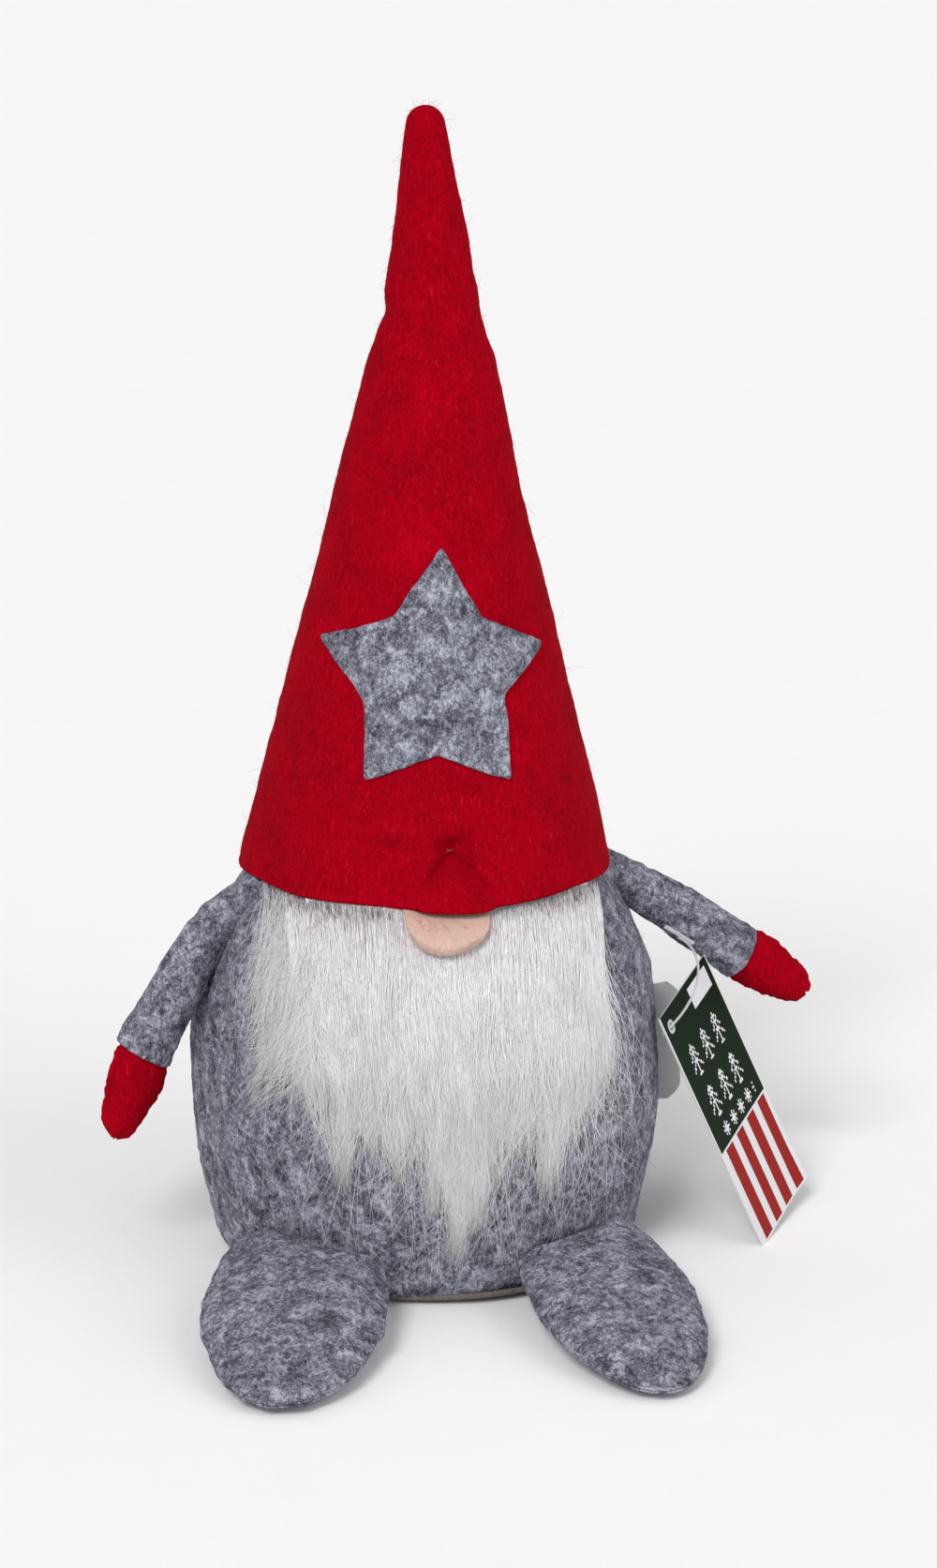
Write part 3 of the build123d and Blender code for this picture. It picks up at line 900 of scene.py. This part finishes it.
def make_side_sweep(name, seed, count, material):
    """Fur that blows out past the right arm's root, low and to the side."""
    rng = np.random.default_rng(seed)
    steps = 12
    share = np.linspace(0, 1, steps)[None]
    root = rng.uniform(-58, -36, (count, 1))
    top = 104 + (HEM - 103.0) * rng.beta(1.3, 0.8, (count, 1))
    fall = rng.uniform(16, 44, (count, 1))
    out = rng.uniform(3, 26, (count, 1)) * (0.5 + 0.5 * (top - 104) / 34)
    x = root - out * share ** 1.15 + 3 * np.sin(share * math.pi) * rng.normal(size=(count, 1))
    z = top - fall * share ** 1.2
    proud = 1.6 + rng.uniform(0.5, 4, (count, 1)) * np.sin(share * 2.4)
    reach = body_radius(z) + proud
    angle = np.arcsin(np.clip(root / reach, -0.98, 0.98)) + (x - root) / 84.0
    paths = about_axis(reach, angle, z)
    thick = rng.uniform(0.05, 0.10, (count, 1)) * (1 - 0.6 * share)
    return strands(name, paths, thick, material)


# ---------------------------------------------------------------- arms

def arm_frame(side):
    """Origin at the pivot; X to the hand, Y across, Z on the upper side of the arm."""
    turn = math.radians(SEAM_TURN if side == "left" else 180 + SEAM_TURN)
    droop = math.radians(ARM_DROOP[side])
    out = np.array([math.cos(turn), math.sin(turn), 0])
    along = out * math.cos(droop) + np.array([0, 0, -math.sin(droop)])
    upper = out * math.sin(droop) + np.array([0, 0, math.cos(droop)])
    across = np.cross(upper, along)
    origin = out * ARM_PIVOT_OUT + np.array([0, 0, ARM_PIVOT_HEIGHT])
    return origin, along, across, upper


def in_arm(frame_axes, x, y, z):
    """Points given in arm coordinates, in the shared frame."""
    origin, along, across, upper = frame_axes
    return (origin + np.asarray(x)[..., None] * along
            + np.asarray(y)[..., None] * across + np.asarray(z)[..., None] * upper)


def sleeve_path(side, count):
    """Middle line of the sleeve in arm coordinates, out of the side seam and down to the
    cuff, with the square direction at each point."""
    angle = math.radians(ARM_DROOP[side])
    root_out, root_up = (-18.0, 12.0)
    root = np.array([
        root_out * math.cos(angle) - root_up * math.sin(angle),
        root_out * math.sin(angle) + root_up * math.cos(angle),
    ])
    bend, start, end = np.array([(-3.5, 0.6), (SLEEVE_STRAIGHT, 0.0), (CUFF, 0.0)])
    t = np.linspace(0, 1, 30)[:, None]
    curve = (1 - t) ** 2 * root + 2 * t * (1 - t) * bend + t * t * start
    line = even_line(np.concatenate([curve, end[None]]), count)
    way = np.gradient(line, axis=0)
    way /= np.linalg.norm(way, axis=1, keepdims=True)
    return line, way


def sleeve_ring(axes, spot, way, share, turns, inset, seed, bow):
    """Section of the sleeve square to its middle line."""
    tall = np.interp(share, [0, 0.15, 0.4, 0.7, 1.0], [6.4, 7.0, 8.3, 9.5, 10.1]) - inset
    wide = np.interp(share, [0, 0.15, 0.4, 0.7, 1.0], [4.6, 5.6, 7.6, 8.9, 9.6]) - inset
    y, z = wide * np.cos(turns), tall * np.sin(turns)
    waves = ((24, seed, 0.045), (6, seed + 1, 0.016), (2.2, seed + 2, 0.009))
    soft = ripples(spots(spot[0], y, z), *waves, start=1)
    crease = 0.06 * bump(share, 0.27, 0.09) * np.sin(spot[0] * 0.8 + turns * 2)
    away = np.degrees(np.angle(np.exp(1j * (turns + math.pi / 2))))
    seam = 0.09 * np.exp(-(away / 8.0) ** 2) - 0.03 * np.exp(-((np.abs(away) - 17) / 8.0) ** 2)
    y, z = y * (soft + crease - seam), z * (soft + crease - seam)
    z = z + bow * math.sin(math.pi * share)
    return in_arm(axes, spot[0] - way[1] * z, y, spot[1] + way[0] * z)


def make_sleeve(side, material):
    """Stuffed felt tube with a cut cuff edge that turns in over its lining."""
    axes = arm_frame(side)
    bow, seed = (1.0, 51) if side == "left" else (0.6, 55)
    count = 96
    turns = full_turn(84)
    line, way = sleeve_path(side, count)

    def ring(index, inset, shift=0.0):
        share = index / (count - 1)
        spot = line[index] + way[index] * shift
        return sleeve_ring(axes, spot, way[index], share, turns, inset, seed, bow)

    rings = [ring(i, 0.0) for i in range(count)]
    jag = ripple(rings[-1], 5, seed + 3) * 0.25
    rings[-1] = rings[-1] + jag[:, None] * axes[1]
    rings += [ring(count - 1, 0.6, 0.4), ring(count - 1, 1.4)]
    rings += [ring(count - 6, FELT), ring(count - 20, FELT)]
    return closed_tube("sleeve_cloth_" + side, rings, [material])


def make_mitten(side, material):
    """A flat pouch of two felt layers: seam ridges above and below, tip drawn together."""
    axes = arm_frame(side)
    droop = math.radians(0 if side == "left" else 10)
    turns = full_turn(96)
    seed = 61 if side == "left" else 65
    tip = MITTEN_LONG - 3 + 3 * np.sin(np.linspace(0.08, 1.5, 16))
    hand = np.linspace(0.6, MITTEN_LONG - 3, 52)
    stops = [0, 0.1, 0.35, 0.65, 0.85, 0.94, 1.0]
    rings = []
    for t in np.concatenate([np.linspace(-7, 0, 8), hand, tip]):
        share = max(t, 0) / MITTEN_LONG
        tall = np.interp(share, stops, [8.6, 9.5, 9.3, 7.9, 6.3, 4.8, 1.2])
        wide = np.interp(share, stops, [7.9, 8.6, 8.2, 6.8, 5.0, 3.6, 0.8])
        if t < 0:
            tall, wide = 8.3 + t * 0.1, 7.7 + t * 0.1
        y, z = wide * np.cos(turns), tall * np.sin(turns)
        waves = ((14, seed, 0.045), (4, seed + 1, 0.018), (1.8, seed + 2, 0.010))
        soft = ripples(spots(t, y, z), *waves, start=1)
        if t > 0.5:
            ridge = np.exp(-((np.abs(np.sin(turns)) - 1) / 0.02) ** 2)
            groove = np.exp(-((np.abs(np.sin(turns)) - 0.955) / 0.02) ** 2)
            wave = 1 + 0.30 * math.sin(t * 0.9) + 0.2 * math.sin(t * 1.9 + 1)
            soft = soft + 0.055 * ridge * wave - 0.035 * groove
        gather = smoothstep(share, 0.74, 0.98)
        soft = soft + gather * 0.12 * np.sin(turns * 5 + 0.7) * (1 - 0.4 * gather)
        y, z = y * soft, z * soft
        x = t + gather * 0.9 * np.sin(turns * 3 + 0.4)
        along = x * math.cos(droop) + z * math.sin(droop) * 0.5
        lower = z - x * math.sin(droop)
        rings.append(in_arm(axes, along + MITTEN_ROOT, y, lower))
    return closed_tube("mitten_felt_" + side, rings, [material])


# ---------------------------------------------------------------- feet

def foot_axes(side):
    """Middle of the foot, the way across it, up to the heel, and square to its seam."""
    sign = 1 if side == "left" else -1
    splay, slope = math.radians(sign * FOOT_SPLAY), math.radians(FOOT_SLOPE)
    across = np.array([math.cos(splay), math.sin(splay), 0])
    flat = np.array([-math.sin(splay), math.cos(splay), 0])
    heel = flat * math.cos(slope) + np.array([0, 0, math.sin(slope)])
    x, y, z = FOOT_MIDDLE
    return np.array([sign * x, y, z]), across, heel, np.cross(across, heel)


def foot_outline(side, turns):
    """Distance from the foot's middle to its cut edge, and how much of it is heel."""
    centre, across, heel, _ = foot_axes(side)
    wide, long = (28.0, 64.0) if side == "left" else (31.0, 63.5)
    phase = 0.7 if side == "left" else 2.1
    reach = 1 / np.sqrt((np.cos(turns) / wide) ** 2 + (np.sin(turns) / long) ** 2)
    reach = reach * (1 + 0.012 * np.cos(5 * turns + phase) + 0.007 * np.cos(9 * turns + 2 * phase))
    ways = np.cos(turns)[:, None] * across + np.sin(turns)[:, None] * heel
    far = np.linspace(0, 70, 701)
    tried = centre + ways[:, None] * far[None, :, None]
    room = np.hypot(tried[..., 0], tried[..., 1]) - body_radius(tried[..., 2]) - 0.3
    hit = np.where((room < 0).any(1), far[(room < 0).argmax(1)], 1e3)
    blend = 0.8
    cut = -blend * np.log(np.exp(-reach / blend) + np.exp(-np.minimum(hit, 400) / blend))
    return np.minimum(cut, hit), ways, smoothstep(reach - hit, -1.0, 5.0)


def make_foot(side, felt):
    """Flat stuffed foot, sewn round its cut edge, with its heel against the body."""
    cols, rows = 220, 46
    turns = full_turn(cols)
    centre, _, _, up = foot_axes(side)
    reach, ways, heel = foot_outline(side, turns)
    seed = 81 if side == "left" else 85

    def ring(share, height):
        flat = centre + ways * (reach * share)[:, None]
        points = flat + up * np.reshape(height + 0 * turns, (-1, 1))
        points[:, 2] = np.maximum(points[:, 2], FLOOR_GAP)
        return points

    rings = []
    for share in np.linspace(0.01, 0.958, rows):
        flat = ring(share, 0)
        side_rise = (1 - (share / 0.968) ** 2.4) ** 0.70
        heel_rise = (1 - 0.22 * share ** 2) * (1 - (share / 0.972) ** 12) ** 0.55
        rise = FOOT_PUFF * (side_rise * (1 - heel) + heel_rise * heel)
        wave = ripples(flat, (30, seed, 0.35), (8, seed + 1, 0.18), (2.4, seed + 2, 0.09))
        pucker = np.sin(turns * 52 + ripple(flat, 16, seed + 3) * 2) * 0.20
        pucker = pucker * smoothstep(share, 0.75, 0.93)
        calm = min(1, (0.97 - share) * 9)
        rings.append(ring(share, 0.9 + rise + (wave + pucker * (1 - heel)) * calm))
    edge = ripple(ring(1, 0), 7, seed + 4) * 0.35 * (1 - heel)
    rim = (
        (0.970, 0.75), (0.985, 0.85), (0.997, 0.75), (1.000, 0.4), (0.996, 0.08),
        (0.986, -0.05), (0.988, -0.2), (0.999, -0.25), (1.000, -0.55), (0.998, -0.95),
        (0.985, -1.05),
    )
    for share, height in rim:
        rings.append(ring(share + edge / reach * (share > 0.97), height))
    for share in np.linspace(0.96, 0.01, 20):
        rings.append(ring(share, -0.6 - 7.0 * (1 - (share / 0.965) ** 4)))
    return closed_tube("foot_felt_" + side, rings[::-1], [felt])


# ---------------------------------------------------------------- label, tag, thread, fuzz

def make_label(material):
    """Satin band folded in half lengthwise, its two ends caught in the side seam."""
    low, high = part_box("care_label")
    turn = math.radians(SEAM_TURN)
    out = np.array([math.cos(turn), math.sin(turn), 0])
    across = np.array([-math.sin(turn), math.cos(turn), 0])
    z0, z1 = low[2] / MM, high[2] / MM
    rows, cols = 60, 70
    s = np.linspace(0, 1, cols)[None]
    h = np.linspace(0, 1, rows)[:, None]
    z = z0 + (z1 - z0) * h
    fold = 2 * np.abs(s - 0.5)
    corner = np.clip((h - 0.86) / 0.14, 0, 1) ** 2 * 4.5
    corner = corner + np.clip((0.14 - h) / 0.14, 0, 1) ** 2 * 5.0
    seam, edge = 80.6, 96.0
    reach = seam + (edge - corner - seam) * np.sqrt(np.clip(1 - fold ** 4, 0, 1))
    gap = np.sign(s - 0.5) * (0.12 + 1.0 * np.sin(math.pi * np.clip(fold, 0, 1)) ** 2 + 0.5 * fold)
    gap = np.where(np.abs(s - 0.5) < 0.04, (s - 0.5) / 0.04 * 0.35, gap)
    sway = 1.6 * (h - 0.4) * smoothstep(reach, 82, 96) + 0.5 * np.sin(h * 7)
    mid = reach[..., None] * out + (gap + sway)[..., None] * across
    mid[..., 2] = z
    half = 0.12
    normal = np.cross(np.gradient(mid, axis=0), np.gradient(mid, axis=1))
    normal /= np.linalg.norm(normal, axis=2, keepdims=True) + 1e-9
    piece = sheet_shell("label_satin", mid + normal * half, mid - normal * half, [material])
    return piece


def turned(v, first, second, angle):
    """v turned so that its first coordinate moves towards its second."""
    v = v.copy()
    a, b = v[first], v[second]
    v[first] = a * math.cos(angle) - b * math.sin(angle)
    v[second] = a * math.sin(angle) + b * math.cos(angle)
    return v


def tag_axes():
    """Top corner of the tag; its way across, its thickness and its way up."""
    yaw, lean, tilt = math.radians(62.5), math.radians(-10.8), math.radians(-21.5)
    axes = []
    for v in np.eye(3):
        v = turned(v, 1, 2, tilt)
        v = turned(v, 2, 0, lean)
        axes.append(turned(v, 0, 1, yaw))
    return np.array([78.8, -27.9, 85.1]), axes


FIR = (
    "....#....",
    "...###...",
    "..#.#.#..",
    "...###...",
    "..#.#.#..",
    ".#..#..#.",
    "...###...",
    "..#.#.#..",
    ".#..#..#.",
    "#...#...#",
    "....#....",
    "...###...",
)
FLAKE = (
    "...#...",
    ".#.#.#.",
    "..###..",
    "#######",
    "..###..",
    ".#.#.#.",
    "...#...",
)


def tag_motif(u, w):
    """Whether a printed stitch of the winter pattern lies at (u, w) on the green field."""
    bands = (
        # pattern, left, top, size of a stitch, stitches from one motif to the next, motifs
        (FIR, 8.0, 17.0, 1.0, 12, 3),
        (FIR, 8.0, 33.5, 1.0, 12, 3),
        (FLAKE, 9.5, 48.4, 0.8, 10, 4.2),
    )
    for motif, left, top, stitch, step, number in bands:
        col, row = int((u - left) // stitch), int((w - top) // stitch)
        if 0 <= row < len(motif) and 0 <= col < number * step:
            spot = col % step
            if spot < len(motif[0]) and motif[row][spot] == "#":
                return True
    return False


def tag_region(u, w):
    """0 green, 1 white, 2 red, 3 bare card, for a point of the printed front."""
    if (u - TAG_EYE) ** 2 + (w - TAG_EYE) ** 2 < TAG_RING_RADIUS ** 2:
        return 3
    if u < 0.7 or u > TAG_WIDE - 0.7:
        return 1
    if w < GREEN_END * TAG_LONG:
        blank = 27.0 < u < 46.0 and 2.5 < w < 10.5
        return 1 if blank or tag_motif(u, w) else 0
    if w < BAND_END * TAG_LONG:
        return 1
    place = u / TAG_WIDE - STRIPE_START
    stripe = 0 <= place < STRIPE_END and place % STRIPE_STEP < STRIPE_WIDE
    return 2 if stripe and w < TAG_LONG - 0.8 else 1


def make_tag(materials):
    """Printed card with a punched hole. Its squares carry the colours of the print."""
    origin, (a, b, c) = tag_axes()
    cols, rows = int(TAG_WIDE / TAG_CELL) + 1, int(TAG_LONG / TAG_CELL) + 1
    u = np.linspace(0, TAG_WIDE, cols)[None]
    w = np.linspace(0, TAG_LONG, rows)[:, None]
    across, down = u / TAG_WIDE, w / TAG_LONG
    curl = 0.5 * ((across - 0.5) ** 2 * 2 - 0.3) * down + 0.4 * (down - 0.5) ** 2
    curl = curl + 1.2 * smoothstep(u + w * 0.6, 92, 107) * 0.6
    flat = origin + u[..., None] * a + (-w)[..., None] * c
    front = flat + (-curl - TAG_HALF)[..., None] * b
    back = flat + (-curl + TAG_HALF)[..., None] * b
    size = rows * cols
    verts = np.concatenate([front.reshape(-1, 3), back.reshape(-1, 3)])
    faces, regions = [], []
    edges = {}

    def add(ids, region):
        faces.append(ids)
        regions.append(region)

    for i in range(rows - 1):
        for j in range(cols - 1):
            x, y = (j + 0.5) * TAG_CELL, (i + 0.5) * TAG_CELL
            if (x - TAG_EYE) ** 2 + (y - TAG_EYE) ** 2 < TAG_HOLE_RADIUS ** 2:
                continue
            q = (i * cols + j, i * cols + j + 1, (i + 1) * cols + j + 1, (i + 1) * cols + j)
            add(q[::-1], tag_region(x, y))
            add(tuple(v + size for v in q), 3)
            for p, n in zip(q, q[1:] + q[:1]):
                if (n, p) in edges:
                    del edges[(n, p)]
                else:
                    edges[(p, n)] = True
    for p, n in edges:
        add((p, n, n + size, p + size), 3)
    return make_piece("tag_card", verts, faces, materials, regions, smooth=False)


def make_tack(material):
    """Three turns of thread over the tack that pulls the hat in above the nose."""
    low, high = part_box("hat_tack_stitch")
    cx, cz = (low[0] + high[0]) / 2 / MM, (low[2] + high[2]) / 2 / MM
    centre = hat_point(np.array([cx]), np.array([cz]), 0.4)[0]
    paths = []
    for tilt, off in ((0.5, -0.3), (-0.4, 0.2), (0.1, 0.5)):
        t = np.linspace(-1, 1, 12)
        x = t * 1.7 * math.cos(tilt) + off
        z = t * 1.7 * math.sin(tilt) + off * 0.5
        y = -0.55 * (1 - t ** 2) + 0.9 * t ** 4
        paths.append(centre + spots(x, y, z))
    paths = np.array(paths)
    return strands("tack_thread", paths, np.full(paths.shape[:2], 0.28), material)


def make_fuzz(name, seed, points, normals, material, length, size=0.045):
    """Short stray fibres standing off a felt surface."""
    rng = np.random.default_rng(seed)
    count, steps = len(points), 4
    side = rng.normal(size=(count, 3))
    side -= (side * normals).sum(1, keepdims=True) * normals
    side /= np.linalg.norm(side, axis=1, keepdims=True)
    bend = rng.normal(size=(count, 3)) * 0.5
    far = length * rng.gamma(2.0, 0.5, (count, 1, 1))
    share = np.linspace(0, 1, steps)[None, :, None]
    lift = rng.uniform(0.1, 0.75, (count, 1, 1))
    paths = points[:, None] + far * share * (side[:, None] + normals[:, None] * lift)
    paths = paths + far * share ** 2 * bend[:, None] * 0.6
    radii = np.full((count, steps), size) * (1 - 0.6 * share[..., 0])
    return strands(name, paths, radii, material)


def surface_fuzz(name, seed, piece, count, material, length):
    """Fuzz on the sides of a finished piece, where its surface looks outwards."""
    mesh = piece.data
    co = np.empty(len(mesh.vertices) * 3)
    no = np.empty(len(mesh.vertices) * 3)
    mesh.vertices.foreach_get("co", co)
    mesh.vertices.foreach_get("normal", no)
    co, no = co.reshape(-1, 3) / MM, no.reshape(-1, 3)
    away = np.hypot(co[:, 0], co[:, 1])
    side = (co[:, 0] * no[:, 0] + co[:, 1] * no[:, 1]) / np.maximum(away, 1)
    usable = np.nonzero(side > 0.2)[0]
    pick = np.random.default_rng(seed).choice(usable, count, replace=False)
    return make_fuzz(name, seed + 1, co[pick], no[pick], material, length)


# ---------------------------------------------------------------- the figure

def place(piece, body, slot, nodes=(), fill=None):
    """Tells the frame which body a piece rides on, and hides the parts it replaces.
    slot and fill are not used.
    """
    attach(piece, body)
    if nodes:
        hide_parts(*nodes)
    return piece


def build():
    grey = melange_felt(
        "grey_felt", (0.040, 0.041, 0.056), (0.170, 0.172, 0.216), (0.46, 0.465, 0.54))
    red = plain_felt(
        "red_felt", (0.21, 0.0, 0.004), (0.42, 0.0, 0.010), (0.56, 0.010, 0.026), 60, 0.0)
    # Paler copy of the hat's red felt for the loose fibres: painted light, while the hat's own
    # fuzz fibres wear the deep red
    shed_painted_light = plain_felt(
        "shed_fibre_painted_light", (0.62, 0.03, 0.06), (0.80, 0.10, 0.14), (0.85, 0.2, 0.22), sheen=0.0)
    peach = plain_felt(
        "peach_felt", (0.54, 0.35, 0.28), (0.66, 0.46, 0.385), (0.76, 0.58, 0.51), 120)
    brown = plain_felt(
        "brown_felt", (0.10, 0.085, 0.075), (0.22, 0.19, 0.17), (0.35, 0.31, 0.28), 120)
    fur_mass = fur_paint("fur_mass", (0.86, 0.85, 0.86), (0.98, 0.97, 0.98))
    fur_strand = fur_paint("fur_strand", (0.78, 0.775, 0.785), (0.97, 0.96, 0.965), 700)
    satin = woven_paint("label_satin", (0.80, 0.80, 0.82), 0.35, 900, 0.00005)
    nylon = nylon_paint("clear_nylon")
    green = card_paint("card_green", (0.006, 0.017, 0.007))
    white = card_paint("card_white", (0.78, 0.77, 0.80))
    stripe = card_paint("card_red", (0.32, 0.018, 0.014))
    bare = card_paint("card_bare", (0.62, 0.62, 0.62), 0.6)
    thread = thread_paint("tack_thread", (0.45, 0.004, 0.02))

    front = place(make_body_panel("body_front", True, grey), "torso", "grey_felt",
                  ("body_front_panel", "body_stuffing"), 0.85)
    place(make_body_panel("body_back", False, grey), "torso", "grey_felt",
          ("body_back_panel",), 0.85)
    place(make_base(brown), "torso", "brown_felt", ("base_disc",))
    hat = place(make_hat(red), "torso", "red_felt", ("hat_cone", "hat_stuffing"), 0.6)
    place(make_star(grey), "torso", "grey_felt", ("star_patch",))
    place(make_nose(peach), "torso", "peach_felt", ("nose_cover", "nose_stuffing"), 0.8)
    place(make_tack(thread), "torso", "thread", ("hat_tack_stitch",))
    place(make_beard_core(fur_mass), "torso", "fur", ("beard_pile", "beard_backing"))
    coats = (
        (0.12, (1.5, 4.5), 1.2), (0.12, (2, 5.5), 1.8), (0.13, (2.5, 6), 2.4),
        (0.14, (3, 6.5), 3.5), (0.10, (3, 7), 6),
    )
    for index, (size, layers, wild) in enumerate(coats):
        name = f"beard_hair_{index + 1}"
        hair = make_strand_set(name, 100 + index, 3800, fur_strand, size, layers, wild)
        place(hair, "torso", "fur")
    place(make_wisps("beard_wisps", 120, 1300, fur_strand, 0.07), "torso", "fur")
    place(make_side_sweep("beard_sweep", 124, 900, fur_strand), "torso", "fur")
    place(make_shed("hat_shed_fibres", 127, 130, shed_painted_light), "torso", "red_felt")
    place(surface_fuzz("hat_fuzz", 130, hat, 2600, red, 1.9), "torso", "red_felt")
    place(surface_fuzz("body_fuzz", 133, front, 1500, grey, 1.9), "torso", "grey_felt")

    for side in ("left", "right"):
        shoulder, arm, foot = side + "_shoulder", side + "_arm", side + "_foot"
        sleeve = make_sleeve(side, grey)
        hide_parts("sleeve_" + side, "arm_stuffing_" + side)
        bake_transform(sleeve)
        place(make_mitten(side, red), arm, "red_felt",
              ("mitten_" + side, "mitten_stuffing_" + side), 0.7)
        place(make_foot(side, grey), foot, "grey_felt",
              ("foot_upper_" + side, "foot_sole_" + side, "foot_stuffing_" + side), 0.6)

    place(make_label(satin), "torso", "satin", ("care_label",))
    place(make_tag([green, white, stripe, bare]), "tag", "card", ("hang_tag",))

    inner = {
        "weight_bag": woven_paint("bag_cloth", (0.70, 0.67, 0.60)),
        "weight_pellets": pellet_paint("pellets"),
        "shoulder_tab_left": grey,
        "shoulder_tab_right": grey,
        "pin_bar": nylon,
        "pin_filament": nylon,
    }
    for name, material in inner.items():
        for material_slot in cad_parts[name].material_slots:
            material_slot.material = material


make_camera()
make_studio()
build()
